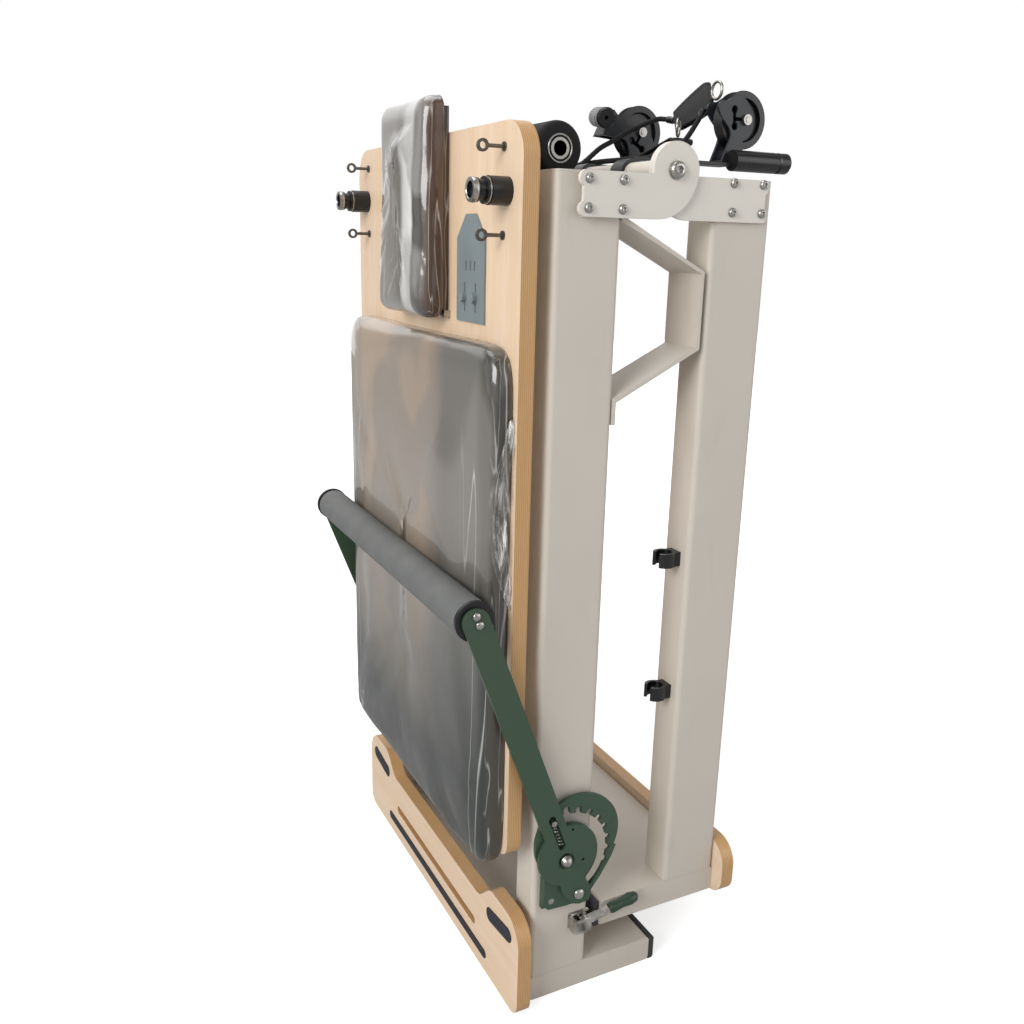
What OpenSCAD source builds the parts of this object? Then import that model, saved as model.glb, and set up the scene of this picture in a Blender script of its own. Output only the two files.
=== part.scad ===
/* [Frame] */
// Width over the outer faces of the rails
frame_width = 634; // [580:1:700]
// Depth of a rail, from its top face to its underside
rail_depth = 100; // [85:1:120]
// Width of a rail
rail_width = 60; // [50:1:70]
// Wall of the rails and the leg boxes
rail_wall = 2.5; // [2:0.5:4]
// Corner radius of the rails
rail_corner = 8; // [5:1:10]
// Height of the rails' hinge ends, folded
fold_height = 1250; // [1200:5:1300]
// Height of the head half's leg above the floor, folded
head_lift = 101; // [80:1:120]
// Thickness of an end leg
leg_thick = 43; // [36:1:50]
// Reach of the legs below the rails, unfolded
leg_drop = 135; // [110:1:160]
// Gap between a leg and the other half's rails, folded
fold_gap = 12; // [8:1:16]
// Thickness of the rubber strip under a leg
leg_rubber = 10; // [6:1:14]
// Width of a wheel track's shelf
track_width = 13; // [11:1:15]
// Depth of the wheel tracks below the rails' top faces
track_drop = 30; // [26:1:36]
// Thickness of the wheel tracks
track_thick = 4; // [3:0.5:5]

/* [Fold hinge] */
// Height of the hinge pin above the rails' ends
pivot_rise = 6; // [4:1:10]
// Thickness of a hinge plate
hinge_plate = 6; // [4:1:8]
// Height of the hinge plates below the rails' ends
hinge_deep = 57; // [45:1:65]
// Radius of the hinge plates' round ends
hinge_disc = 36; // [28:1:38]
// Radius of the hinge pins
hinge_pin_r = 8; // [6:0.5:10]
// Radius of the tube between the two hinges
cross_tube_r = 15; // [12:0.5:17]
// Reach of the left plates from the pin
left_plate_reach = 146; // [135:1:155]
// Reach of the right plates from the pin
right_plate_reach = 163; // [155:1:172]

/* [Middle legs] */
// Width of the bent strip
mid_leg_width = 78; // [50:1:85]
// Thickness of the bent strip
mid_leg_thick = 5; // [4:0.5:8]
// Distance of the strip's upper end below the rails' hinge ends
mid_leg_drop = 60; // [56:1:100]
// Height over the strip's two ends
mid_leg_span = 235; // [180:5:260]

/* [Standing platform] */
// Width of the platform and the head board
platform_width = 686; // [640:2:740]
// Height of the platform at its ears
platform_ear = 166; // [150:1:180]
// Height of the platform between its ears
platform_mid = 128; // [110:1:140]
// Thickness of the plywood boards
board_thick = 23; // [18:1:28]
// Gap between the platform and the rails
platform_gap = 13; // [8:1:16]

/* [Carriage] */
// How far the carriage board stands out past the rails' outer faces
board_overhang = 3; // [1:0.5:6]
// Height of the carriage board's lower end
board_low = 272; // [262:1:300]
// Height of the carriage board's upper end
board_high = 1307; // [1270:1:1330]
// Gap between the carriage board and the rails
board_gap = 25; // [20:1:30]
// Corner radius of the carriage board's head end
board_corner = 45; // [30:1:60]
// Thickness of the main pad
pad_thick = 34; // [26:1:40]
// Margin of the board beside the main pad
pad_margin = 9; // [5:1:30]
// Height of the main pad's lower end
pad_low = 243; // [235:1:260]
// Height of the main pad's upper end
pad_high = 1032; // [1000:1:1038]
// Thickness of the headrest cushion
headrest_thick = 34; // [26:1:40]
// Width of the headrest
headrest_width = 190; // [160:2:220]
// Height of the headrest's lower end
headrest_low = 1048; // [1046:1:1060]
// Height of the headrest's upper end
headrest_high = 1350; // [1320:1:1370]
// Travel of the carriage
carriage_travel = 950; // [700:10:980]
// Radius of a carriage wheel
wheel_r = 22; // [18:0.5:24]
// Width of a carriage wheel
wheel_width = 10; // [8:0.5:11]
// Radius of a wheel axle
axle_r = 4; // [3:0.5:5]
// Radial running clearance on axles and pins
running = 0.05; // [0.02:0.01:0.08]

/* [Foot bar] */
// Length of the arms, pivot to roller
arm_length = 440; // [400:2:480]
// Width of the arms
arm_width = 40; // [32:1:44]
// Thickness of the arms
arm_thick = 6; // [4:0.5:8]
// Radius of the arms' round hubs
hub_r = 51; // [46:1:54]
// Distance of the bar's pivot from the rails' top faces
bar_pivot_x = 45; // [42:1:50]
// Height of the bar's pivot
bar_pivot_z = 256; // [248:1:270]
// Radius of the padded roller
roller_r = 28; // [24:0.5:32]
// Radius of the roller's steel tube
roller_tube_r = 19; // [16:0.5:21]
// Thickness of the toothed plates
gear_thick = 6; // [4:0.5:8]
// Thickness of the block behind each toothed plate
gear_block = 8; // [6:0.5:10]
// Radius at which the locking pin travels
lock_r = 70; // [66:1:74]
// Radius of the locking pin
lock_pin_r = 5; // [4:0.5:6]
// Number of notches in the toothed slot
notch_count = 8; // [6:1:9]
// Radius of a notch
notch_r = 7.5; // [6:0.5:8]
// Radius of the pivot pins
bar_pin_r = 8; // [6:0.5:10]

/* [Pulleys] */
// Radius of a pulley wheel
pulley_r = 41; // [36:0.5:44]
// Width of a pulley wheel
pulley_width = 20; // [16:0.5:22]
// Radius of a pulley's plug-in stub
stub_r = 15; // [12:0.5:15]
// Length of a pulley's plug-in stub
stub_length = 104; // [90:1:110]
// Thickness of the pulley forks' cheeks
cheek_thick = 4; // [3:0.5:5]
// Width of the stowage rack's flat bars
rack_width = 30; // [24:1:34]
// Thickness of the stowage rack's flat bars
rack_thick = 5; // [4:0.5:6]
// Radius of the foam roll
foam_r = 36; // [30:0.5:38]
// Length of the foam roll
foam_length = 150; // [120:2:160]

/* [Ropes] */
// Diameter of the ropes
rope_d = 8; // [6:0.5:8]
// Width of the padded hand loops
loop_width = 42; // [36:1:46]
// Loops in each stowed rope hank
hank_loops = 5; // [4:1:5]

/* [Hidden] */

// Facets of a full circle
$fn = 48;

// Clearance of a seated piece
seat = 0.3;
// Outer face of the rails, measured from the middle plane
half = frame_width / 2;
// Width of the carriage board, and of the main pad on it
board_width = frame_width + 2 * board_overhang;
pad_width = board_width - 2 * pad_margin;
// Inner face of the rails
inner = half - rail_width;
// Gap between the folded halves
rail_gap = leg_drop + fold_gap;
// Fold axis
pivot_x = rail_depth + rail_gap / 2;
pivot_z = fold_height + pivot_rise;
// Underside and top face of the head half's rails
right_x = rail_depth + rail_gap;
far_x = right_x + rail_depth;
// Thickness of the rails' and legs' end caps
cap = 3;
// Carriage faces
board_back = -board_gap;
board_front = board_back - board_thick;
pad_front = board_front - pad_thick;
// Foot bar at rest, lying over the pad
bar_x = pad_front - 0.5 - roller_r;
stow_angle = asin((bar_pivot_x - bar_x) / arm_length);
bar_z = bar_pivot_z + arm_length * cos(stow_angle);
// Faces of the stack on the outside of a rail: block, toothed plate, arm
gear_in = half + gear_block;
gear_out = gear_in + gear_thick;
arm_in = gear_out + 1;
arm_out = arm_in + arm_thick;
// Near pulley's axle, and the far one's
near_pulley = [far_x + 29, -195.5, fold_height + 92];
far_pulley = [far_x - 29, -7, fold_height + 86];
// Inner and outer faces of a fork's cheeks, from the wheel's middle
cheek_in = pulley_width / 2 + 1.5;
cheek_out = cheek_in + cheek_thick;
// Depth of a fork, axle to foot
fork_drop = 62;
// Radius of the nuts on the pulleys' axles
nut_r = 7.5;
// Top of the rack's bars under the pulleys
rack_top = near_pulley[2] - fork_drop - seat;
// Outline of a fork's cheek about its axle, from its foot's right corner to its left one
fork_edge = smooth([[4, -fork_drop], [0, -50], [-3, -36], [-2, -20], [6, -12], [11, 0], [9, 12], [0, 26],
    [-12, 33], [-24, 31], [-34, 25], [-44, 24], [-51, 18], [-50, 10], [-43, 0], [-30, -13], [-26, -24],
    [-31, -40], [-40, -fork_drop]], 2);
// The far fork's turn, and the top of the bar that its lowest point rests on
far_turn = 116;
far_rest = far_pulley[2] - seat + min([for (p = fork_edge) p[0] * sin(far_turn) + p[1] * cos(far_turn)]);
// Height of the foam roll's axis
roll_x = pivot_x - 119.5;
roll_z = rack_top + foam_r - 33;
// Middle of the whole part between its lowest and highest X
low_x = bar_x - roller_r - 1;
stub_x0 = -31;
stub_bevel = 3;
high_x = near_pulley[0] + stub_x0 + stub_length;
mid_x = (low_x + high_x) / 2;
// Wheel positions on the carriage
wheel_x = track_drop - wheel_r - seat;
wheel_z = [board_low + 88, board_high - 117];

// Moves the folding frame's drawing to the part's origin
module place() { translate([-mid_x, 0, 0]) children(); }
// Draws both sides of the middle plane
module pair() { children(); mirror([0, 1, 0]) children(); }
// A box given by its two corners
module slab(a, b) { translate(a) cube(b - a); }
// Extrudes an (x, z) outline from y0 to y1
module across(y0, y1) { translate([0, y1, 0]) rotate([90, 0, 0]) linear_extrude(y1 - y0) children(); }
// Extrudes a (y, z) outline from x0 to x1
module through(x0, x1) { translate([x0, 0, 0]) rotate([90, 0, 90]) linear_extrude(x1 - x0) children(); }
// A cylinder along Y, from y0 to y1
module rod_y(x, z, r, y0, y1) { translate([x, y1, z]) rotate([90, 0, 0]) cylinder(r = r, h = y1 - y0); }
// A cylinder along X, from x0 to x1
module rod_x(y, z, r, x0, x1) { translate([x0, y, z]) rotate([0, 90, 0]) cylinder(r = r, h = x1 - x0); }
// A rounded rectangle with its lower corner at the origin
module round_rect(w, h, r) {
    translate([r, 0]) square([w - 2 * r, h]);
    translate([0, r]) square([w, h - 2 * r]);
    for (x = [r, w - r], y = [r, h - r]) translate([x, y]) circle(r);
}
// A slot with round ends between two points
module slot_between(a, b, r) {
    w = r * 0.998;
    translate(a) rotate(atan2(b[1] - a[1], b[0] - a[0])) translate([0, -w]) square([norm(b - a), 2 * w]);
    translate(a) circle(r);
    translate(b) circle(r);
}
// Points along an arc
function arc(cx, cy, r, a0, a1, n) =
    [for (i = [0:n]) [cx + r * cos(a0 + (a1 - a0) * i / n), cy + r * sin(a0 + (a1 - a0) * i / n)]];

// Rails and legs
module rail(x0, z0, z1) {
    translate([x0, -half, z0]) linear_extrude(z1 - z0) difference() {
        round_rect(rail_depth, rail_width, rail_corner);
        translate([rail_wall, rail_wall])
            round_rect(rail_depth - 2 * rail_wall, rail_width - 2 * rail_wall, rail_corner - rail_wall);
    }
}
module rail_cap(x0, z0) {
    translate([x0, -half, z0]) linear_extrude(cap) round_rect(rail_depth, rail_width, rail_corner);
}
module left_rails() { color("#cfc8bd") place() pair() rail(0, leg_thick, fold_height - cap); }
module left_rail_caps() { color("#cfc8bd") place() pair() rail_cap(0, fold_height - cap); }
module right_rails() { color("#cfc8bd") place() pair() rail(right_x, head_lift + leg_thick, fold_height - cap); }
module right_rail_caps() { color("#cfc8bd") place() pair() rail_cap(right_x, fold_height - cap); }

// An end leg: a box across both rails, closed by a cap at each end
leg_corner = 6;
module leg_section() { round_rect(rail_depth + leg_drop - leg_rubber, leg_thick, leg_corner); }
module leg_box() {
    across(-half + cap, half - cap) difference() {
        leg_section();
        translate([rail_wall, rail_wall]) round_rect(rail_depth + leg_drop - leg_rubber - 2 * rail_wall,
            leg_thick - 2 * rail_wall, leg_corner - rail_wall);
    }
    across(-half, -half + cap) leg_section();
    across(half - cap, half) leg_section();
}
module leg_strip() {
    across(-half, half) {
        translate([rail_depth + leg_drop - leg_rubber, 0]) square([leg_rubber / 2, leg_thick]);
        translate([rail_depth + leg_drop - leg_rubber, leg_rubber / 2])
            square([leg_rubber, leg_thick - leg_rubber]);
        for (z = [leg_rubber / 2, leg_thick - leg_rubber / 2])
            translate([rail_depth + leg_drop - leg_rubber / 2, z]) circle(leg_rubber / 2);
    }
}
module on_head_half() { translate([far_x, 0, head_lift]) mirror([1, 0, 0]) children(); }
module foot_leg() { color("#cfc8bd") place() leg_box(); }
module foot_leg_rubber() { color("#1c1c1e") place() leg_strip(); }
module head_leg() { color("#cfc8bd") place() on_head_half() leg_box(); }
module head_leg_rubber() { color("#1c1c1e") place() on_head_half() leg_strip(); }

// Wheel tracks on the rails' inner faces
module track(z0) {
    pair() translate([0, 0, z0]) linear_extrude(fold_height - z0) {
        translate([track_drop, inner - track_width]) square([track_thick, track_width]);
        translate([track_drop, inner - track_thick]) square([rail_depth - track_drop - 12, track_thick]);
    }
}
module left_tracks() { color("#b9bcc0") place() track(leg_thick + 20); }
module right_tracks() {
    color("#b9bcc0") place() translate([far_x, 0, 0]) mirror([1, 0, 0]) track(head_lift + leg_thick + 20);
}

// Cross tube at the foot end that the springs hook onto
spring_bar_z = 190;
spring_bar_w = 40;
spring_y = [-110, 0, 110];
module spring_bar() {
    color("#cfc8bd") place() {
        across(track_thick - inner, inner - track_thick) translate([rail_depth / 2 - 10, spring_bar_z]) difference() {
            round_rect(spring_bar_w, spring_bar_w, 4);
            translate([rail_wall, rail_wall]) round_rect(spring_bar_w - 2 * rail_wall,
                spring_bar_w - 2 * rail_wall, 1.5);
        }
        for (y = spring_y) difference() {
            slab([-2, y - 10, spring_bar_z + 8], [rail_depth / 2 - 10, y + 10, spring_bar_z + 14]);
            translate([8, y, spring_bar_z]) cylinder(r = 5, h = 30);
        }
    }
}
module carriage_stops() {
    color("#1c1c1e") place() pair()
        slab([wheel_x - 12, inner - 12, wheel_z[0] - wheel_r - 20], [wheel_x + 12, inner, wheel_z[0] - wheel_r - seat]);
}

// Bent strips that stand the middle of the unfolded frame on the floor
module mid_legs() {
    lean = 64;
    flange = 36;
    t = mid_leg_thick;
    x0 = rail_depth;
    x1 = rail_depth + leg_drop + 5;
    z1 = fold_height - mid_leg_drop;
    z0 = z1 - mid_leg_span;
    outer_side = [[x0, z1 + flange], [x0 + t, z1 + flange], [x0 + t, z1 + t], [x1, z1 - lean], [x1, z0 + lean],
        [x0 + t, z0 - t], [x0 + t, z0 - flange], [x0, z0 - flange]];
    inner_side = [[x0, z0], [x1 - t, z0 + lean + 3], [x1 - t, z1 - lean - 3], [x0, z1]];
    color("#cfc8bd") place() pair() across(-half, -half + mid_leg_width) polygon(concat(outer_side, inner_side));
}

// Outline of a plywood board with raised ears at both ends
function eared(width, ear, mid, r_low, r_top, ear_at, ramp) = let (a = width / 2)
    concat(arc(a - r_low, r_low, r_low, -90, 0, 8),
        arc(a - r_top, ear - r_top, r_top, 0, 90, 10),
        [for (i = [0:12]) [ear_at - ramp * i / 12, mid + (ear - mid) * (1 + cos(180 * i / 12)) / 2]],
        [for (i = [12:-1:0]) [-ear_at + ramp * i / 12, mid + (ear - mid) * (1 + cos(180 * i / 12)) / 2]],
        arc(-a + r_top, ear - r_top, r_top, 90, 180, 10),
        arc(-a + r_low, r_low, r_low, 180, 270, 8));
// Hand slot and non-slip strips of the standing platform
hand_slot_z = 66;
hand_slot_y = 178;
grip_z = 31;
grip_y = 222;
ear_grip_y = platform_width / 2 - 68;
ear_grip_z = platform_ear - 41;
module standing_platform() {
    color("#e4c9a4") place() through(-platform_gap - board_thick, -platform_gap) difference() {
        polygon(eared(platform_width, platform_ear, platform_mid, 24, 44, platform_width / 2 - 92, 60));
        slot_between([-hand_slot_y, hand_slot_z], [hand_slot_y, hand_slot_z], 7.5);
    }
}
module platform_grips() {
    front = -platform_gap - board_thick;
    color("#23232b") place() {
        through(front - 1, front) slot_between([-grip_y, grip_z], [grip_y, grip_z], 8);
        pair() through(front - 1, front)
            slot_between([ear_grip_y - 32, ear_grip_z - 5], [ear_grip_y + 32, ear_grip_z + 4], 12);
    }
}
module platform_spacers() {
    color("#1c1c1e") place() for (z = [26, 104]) pair() rod_x(half - rail_width / 2, z, 12, -platform_gap, 0);
}
module head_board() {
    color("#e4c9a4") place() translate([0, 0, head_lift - 2]) through(far_x, far_x + board_thick)
        polygon(eared(platform_width, 96, 60, 30, 40, platform_width / 2 - 70, 50));
}

// Fold hinge: the left plates lie outside the right ones
hinge_low = fold_height - hinge_deep;
left_in = half + hinge_plate + seat;
left_out = left_in + hinge_plate;
// Outline of a hinge plate that reaches towards +X from the pin
module hinge_outline(reach, ear) {
    big = hinge_deep + pivot_rise;
    shift = big - hinge_disc;
    difference() {
        union() {
            circle(hinge_disc);
            intersection() {
                translate([shift, 0]) circle(big);
                translate([-hinge_disc, -big]) square([shift + hinge_disc, big]);
            }
            translate([shift, -big]) square([reach - shift - ear * 0.6, hinge_deep]);
            for (z = [-pivot_rise - ear, -big + ear]) translate([reach - ear, z]) circle(ear);
        }
        circle(hinge_pin_r + running);
    }
}
left_screws = [[-132, -16], [-81, -16], [-132, -52], [-81, -52]];
right_screws = [[101, -12], [152, -12], [101, -50], [152, -50]];
module hinge_plates_left() {
    color("#cfc8bd") place() pair() {
        translate([pivot_x, 0, pivot_z]) across(left_in, left_out)
            mirror([1, 0]) hinge_outline(left_plate_reach, 10);
        across(half, left_in) translate([pivot_x - left_plate_reach + 12, hinge_low])
            square([rail_depth - pivot_x + left_plate_reach - 12, hinge_deep - 2]);
    }
}
module hinge_plates_right() {
    color("#cfc8bd") place() pair() translate([pivot_x, 0, pivot_z])
        across(half, half + hinge_plate) hinge_outline(right_plate_reach, 10);
}
module hinge_cross_tube() {
    color("#cfc8bd") place() difference() {
        rod_y(pivot_x, pivot_z, cross_tube_r, -half + seat, half - seat);
        rod_y(pivot_x, pivot_z, hinge_pin_r + running, -half, half);
    }
}
// A domed screw head on the outer face of a plate at y
module dome_y(x, z, r, h, y) {
    translate([x, y, z]) rotate([-90, 0, 0]) rotate_extrude()
        polygon(concat([[0, 0]], [for (a = [0:15:90]) [r * cos(a) * (1 - 0.12 * sin(a)), 1 + (h - 1) * sin(a)]]));
}
module hinge_hardware() {
    color("#b4b4b2") place() pair() {
        rod_y(pivot_x, pivot_z, hinge_pin_r, half - 60, left_out);
        dome_y(pivot_x, pivot_z, 12.5, 8, left_out);
        for (s = left_screws) dome_y(pivot_x + s[0], pivot_z + s[1], 6.5, 4.5, left_out);
    }
}
module hinge_screws_right() {
    color("#b4b4b2") place() pair()
        for (s = right_screws) dome_y(pivot_x + s[0], pivot_z + s[1], 6.5, 4.5, half + hinge_plate);
}

// Toothed plate: a slot round the bar's pivot with notches in its outer edge
notch_at = lock_r + lock_pin_r;
notch_spread = 1.2;
notch_first = -19;
notch_step = 15.3;
slot_from = -77;
module toothed_slot() {
    r0 = lock_r - lock_pin_r - 6;
    r1 = lock_r + lock_pin_r + 1.5;
    end = notch_first + (notch_count - 1) * notch_step + 6;
    intersection() {
        difference() {
            circle(r1, $fn = 96);
            circle(r0, $fn = 96);
        }
        polygon(concat([[0, 0]], arc(0, 0, 2 * r1, slot_from, end, 16)));
    }
    for (i = [0:notch_count - 1]) rotate(notch_first + notch_step * i)
        slot_between([lock_r, 0], [notch_at + notch_spread * i, 2], notch_r * 0.72);
}
// Lower right edge of the toothed plate, and its foot
gear_foot = [[93, -2], [84, -22], [68, -48], [52, -69], [46, -83], [8, -86], [-25, -84], [-33, -76], [-33, 30],
    [-12, 96], [20, 60]];
module gear_outline() {
    difference() {
        union() {
            translate([22, 31]) circle(73, $fn = 96);
            polygon(gear_foot);
        }
        toothed_slot();
        circle(bar_pin_r + running);
    }
}
gear_screw_at = [[-20, -33], [-20, -70], [-24, 28]];
module gear_plates() {
    color("#2f4a3a") place() pair() {
        translate([bar_pivot_x, 0, bar_pivot_z]) across(gear_in, gear_out) gear_outline();
        translate([bar_pivot_x, 0, bar_pivot_z]) across(half, gear_in) difference() {
            translate([-33, -84]) square([44, 122]);
            circle(bar_pin_r + running);
        }
    }
}
module gear_screws() {
    color("#b4b4b2") place() pair() for (s = gear_screw_at)
        translate([bar_pivot_x + s[0], gear_out, bar_pivot_z + s[1]]) rotate([-90, 0, 0]) cylinder(r = 5, h = 0.3);
}

// Foot bar
module bar_frame() { translate([bar_pivot_x, 0, bar_pivot_z]) rotate([0, -stow_angle, 0]) children(); }
tail = [[-20, 30], [-24, -56], [-17, -78], [-5, -88], [10, -92], [19, -84], [21, -64], [18, -44], [40, 0]];
module arm_outline() {
    w = arm_width / 2;
    difference() {
        union() {
            translate([-w, 0]) square([arm_width, arm_length]);
            translate([0, arm_length]) circle(w);
            translate([6, 7.5]) circle(hub_r);
            polygon(tail);
        }
        slot_between([2, 28], [2, 82], 6);
        for (p = [[27, 45], [26, -16]]) translate(p) circle(2.5);
        circle(bar_pin_r + running);
        translate([0, -lock_r]) circle(lock_pin_r + running);
    }
}
// Recess round the pivot's dome nut
recess_r = 13.5;
recess_deep = 3;
module footbar_arms() {
    color("#2f4a3a") place() pair() bar_frame() difference() {
        across(arm_in, arm_out) arm_outline();
        rod_y(0, 0, recess_r, arm_out - recess_deep, arm_out + 1);
    }
}
module footbar_tube() {
    color("#8a8c8e") place() difference() {
        rod_y(bar_x, bar_z, roller_tube_r, -arm_in + seat, arm_in - seat);
        rod_y(bar_x, bar_z, roller_tube_r - 2, -arm_in, arm_in);
    }
}
bar_cap = 6;
module footbar_pad() {
    y1 = arm_in - bar_cap - 1;
    color("#80868a") place() translate([bar_x, 0, bar_z]) rotate([90, 0, 0]) rotate_extrude()
        polygon([[roller_tube_r, -y1], [roller_r - 4, -y1], [roller_r - 1, -y1 + 2], [roller_r, -y1 + 6],
            [roller_r, y1 - 6], [roller_r - 1, y1 - 2], [roller_r - 4, y1], [roller_tube_r, y1]]);
}
module footbar_caps() {
    color("#1c1c1e") place() pair() difference() {
        rod_y(bar_x, bar_z, roller_r + 1, arm_in - bar_cap - seat, arm_in - seat);
        rod_y(bar_x, bar_z, roller_tube_r, arm_in - bar_cap - 1, arm_in);
    }
}
// The spring in each arm's slot
bar_spring_curls = 6;
bar_spring_r = 2.9;
bar_spring_wire = 1.2;
bar_spring_pitch = 6.4;
bar_spring_z = 31.5;
bar_spring = coil([2, arm_in + arm_thick / 2, bar_spring_z], bar_spring_r, bar_spring_pitch, bar_spring_curls,
    2 * bar_spring_wire);
module footbar_hardware() {
    color("#b4b4b2") place() pair() bar_frame() {
        rod_y(0, 0, bar_pin_r, half + seat, arm_out - recess_deep);
        dome_y(0, 0, 10.5, 13, arm_out - recess_deep);
        rod_y(0, -lock_r, lock_pin_r, gear_in + seat, arm_out);
        dome_y(0, -lock_r, 9, 6, arm_out);
        for (z = [-5, 9]) dome_y(3, arm_length + z, 6, 4, arm_out);
        rod_y(2, 76, 4.5, arm_in + 0.5, arm_out + 3);
        tube(bar_spring, bar_spring_wire / 2, 6);
    }
}

// Sprung release lever at the foot of the near toothed plate
lever_x = 88;
lever_z = 128;
lever_in = half + seat;
module release_bracket() {
    color("#a9aaa8") place() mirror([0, 1, 0]) {
        across(half, half + 2) translate([lever_x - 24, lever_z - 16]) round_rect(38, 30, 4);
        for (y = [half + 2, half + 18]) across(y, y + 2.5) difference() {
            translate([lever_x - 22, lever_z - 14]) round_rect(30, 24, 5);
            translate([lever_x, lever_z]) circle(3 + running);
        }
        across(half + 4.5, half + 18) translate([lever_x - 22, lever_z - 14]) square([4, 24]);
        rod_y(lever_x, lever_z, 3, half + 2, half + 21);
    }
}
module release_lever() {
    color("#a9aaa8") place() mirror([0, 1, 0]) across(half + 5.5, half + 16.5) difference() {
        union() {
            translate([lever_x, lever_z]) circle(8);
            translate([lever_x, lever_z]) rotate(10) translate([0, -5]) square([46, 9]);
        }
        translate([lever_x, lever_z]) circle(3 + running);
    }
}
module release_grip() {
    color("#3c6048") place() mirror([0, 1, 0]) translate([lever_x, half + 11, lever_z]) rotate([0, -10, 0])
        translate([46, 0, -0.5]) rotate([0, 90, 0]) rotate_extrude()
            polygon([[0, 0], [7, 0], [9, 6], [8, 24], [10, 40], [8, 50], [4, 54], [0, 55]]);
}

// Stowage rack: flat bars clamped on the hinge's cross tube
rack_bars = [[-210, true, true, rack_top], [-95, true, false, rack_top],
    [far_pulley[1] - 13, false, true, far_rest]];
module stowage_rack() {
    clamp_r = cross_tube_r + seat + rack_thick;
    color("#26272a") place() for (b = rack_bars) difference() {
        union() {
            rod_y(pivot_x, pivot_z, clamp_r, b[0] - rack_width / 2, b[0] + rack_width / 2);
            if (b[1]) slab([roll_x - 38, b[0] - rack_width / 2, roll_z - foam_r - rack_thick - seat],
                [pivot_x, b[0] + rack_width / 2, roll_z - foam_r - seat]);
            if (b[2]) slab([pivot_x, b[0] - rack_width / 2, b[3] - rack_thick],
                [far_x - 2, b[0] + rack_width / 2, b[3]]);
        }
        rod_y(pivot_x, pivot_z, cross_tube_r + seat, b[0] - rack_width, b[0] + rack_width);
    }
}
roll_tube_r = 14;
roll_y = rack_bars[0][0] - rack_width / 2 - 2;
module foam_roll() {
    h = foam_length / 2;
    color("#232325") place() translate([roll_x, roll_y + h, roll_z]) rotate([90, 0, 0]) rotate_extrude()
        polygon(concat([[roll_tube_r, -h], [foam_r - 9, -h]], arc(foam_r - 9, -h + 9, 9, -90, 0, 5),
            arc(foam_r - 9, h - 9, 9, 0, 90, 5), [[roll_tube_r, h]]));
}
module foam_roll_tube() {
    color("#b8b8b8") place() difference() {
        rod_y(roll_x, roll_z, roll_tube_r, roll_y - 0.5, roll_y + foam_length);
        rod_y(roll_x, roll_z, roll_tube_r - 4, roll_y - 2, roll_y + foam_length + 1);
    }
}

// A pulley fork, drawn round its axle with its foot below
module fork() {
    for (s = [-1, 1]) across(s < 0 ? -cheek_out : cheek_in, s < 0 ? -cheek_in : cheek_out) difference() {
        polygon(fork_edge);
        slot_between([-22, 13], [-20, -10], 3);
        for (p = [[-22, 13], [-20, -10]]) translate(p) circle(5.5);
        slot_between([-19, 0], [-9, 0], 2.5);
        circle(axle_r + running);
    }
    slab([-38, -cheek_in, -fork_drop], [2, cheek_in, -fork_drop + cheek_thick]);
}
module at_near_pulley() { translate(near_pulley) children(); }
module at_far_pulley() { translate(far_pulley) rotate([0, far_turn, 0]) children(); }
module pulley_forks() {
    color("#3a3d42") place() {
        at_near_pulley() fork();
        at_far_pulley() mirror([1, 0, 0]) fork();
    }
}
module stub_body() {
    difference() {
        rotate_extrude() polygon([[0, 0], [stub_r, 0], [stub_r, stub_length - 26], [stub_r - 1.5, stub_length - 25],
            [stub_r - 1.5, stub_length - 21], [stub_r, stub_length - 20], [stub_r, stub_length - stub_bevel],
            [stub_r - stub_bevel, stub_length], [0, stub_length]]);
        translate([0, 0, stub_length - 24]) cylinder(r = 3, h = 30);
    }
}
far_stub_start = [-75.9, -2.5, 19.2];
far_stub_end = [-118, -97, 6.5];
far_stub_from = far_pulley + far_stub_start;
far_stub_to = far_pulley + far_stub_end;
module pulley_stubs() {
    color("#2a2c2f") place() {
        difference() {
            translate(near_pulley + [stub_x0, -cheek_out - stub_r + 2, -fork_drop + stub_r - 12])
                rotate([0, 90, 0]) stub_body();
            translate(near_pulley) slab([-60, -cheek_out, -100], [100, 20, 40]);
        }
        d = far_stub_to - far_stub_from;
        translate(far_stub_from) rotate([0, acos(d[2] / norm(d)), atan2(d[1], d[0])]) stub_body();
    }
}
module axle_set() {
    rod_y(0, 0, axle_r, -cheek_out - 6, cheek_out + 6);
    for (s = [-1, 1]) rod_y(0, 0, nut_r, s < 0 ? -cheek_out - 5 : cheek_out, s < 0 ? -cheek_out : cheek_out + 5);
}
module pulley_axles() {
    color("#c6c6c4") place() {
        at_near_pulley() axle_set();
        at_far_pulley() axle_set();
    }
}
module pulley() {
    w = pulley_width / 2;
    rotate([90, 0, 0]) rotate_extrude($fn = 72) polygon([[axle_r + running, -w], [11, -w], [12, -4],
        [pulley_r - 12, -4], [pulley_r - 10, -w], [pulley_r - 1, -w], [pulley_r, -w + 1], [pulley_r - 8, -2],
        [pulley_r - 8, 2], [pulley_r, w - 1], [pulley_r - 1, w], [pulley_r - 10, w], [pulley_r - 12, 4], [12, 4],
        [11, w], [axle_r + running, w]]);
}
module pulley_wheel_near() { color("#1d1d1f") place() at_near_pulley() pulley(); }
module pulley_wheel_far() { color("#1d1d1f") place() at_far_pulley() pulley(); }

// A padded hand loop lying flat, drawn along Y with its strap at both ends
module hand_loop(length, width, thick) {
    t = min(5, (thick - 5.8) / 2);
    translate([-width / 2, -length / 2, -thick / 2]) rotate([90, 0, 90]) linear_extrude(width) difference() {
        round_rect(length, thick, thick / 2 - 0.1);
        translate([t + 12, t]) square([length - 2 * t - 24, thick - 2 * t]);
    }
}
loop_thick = 16;
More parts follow.
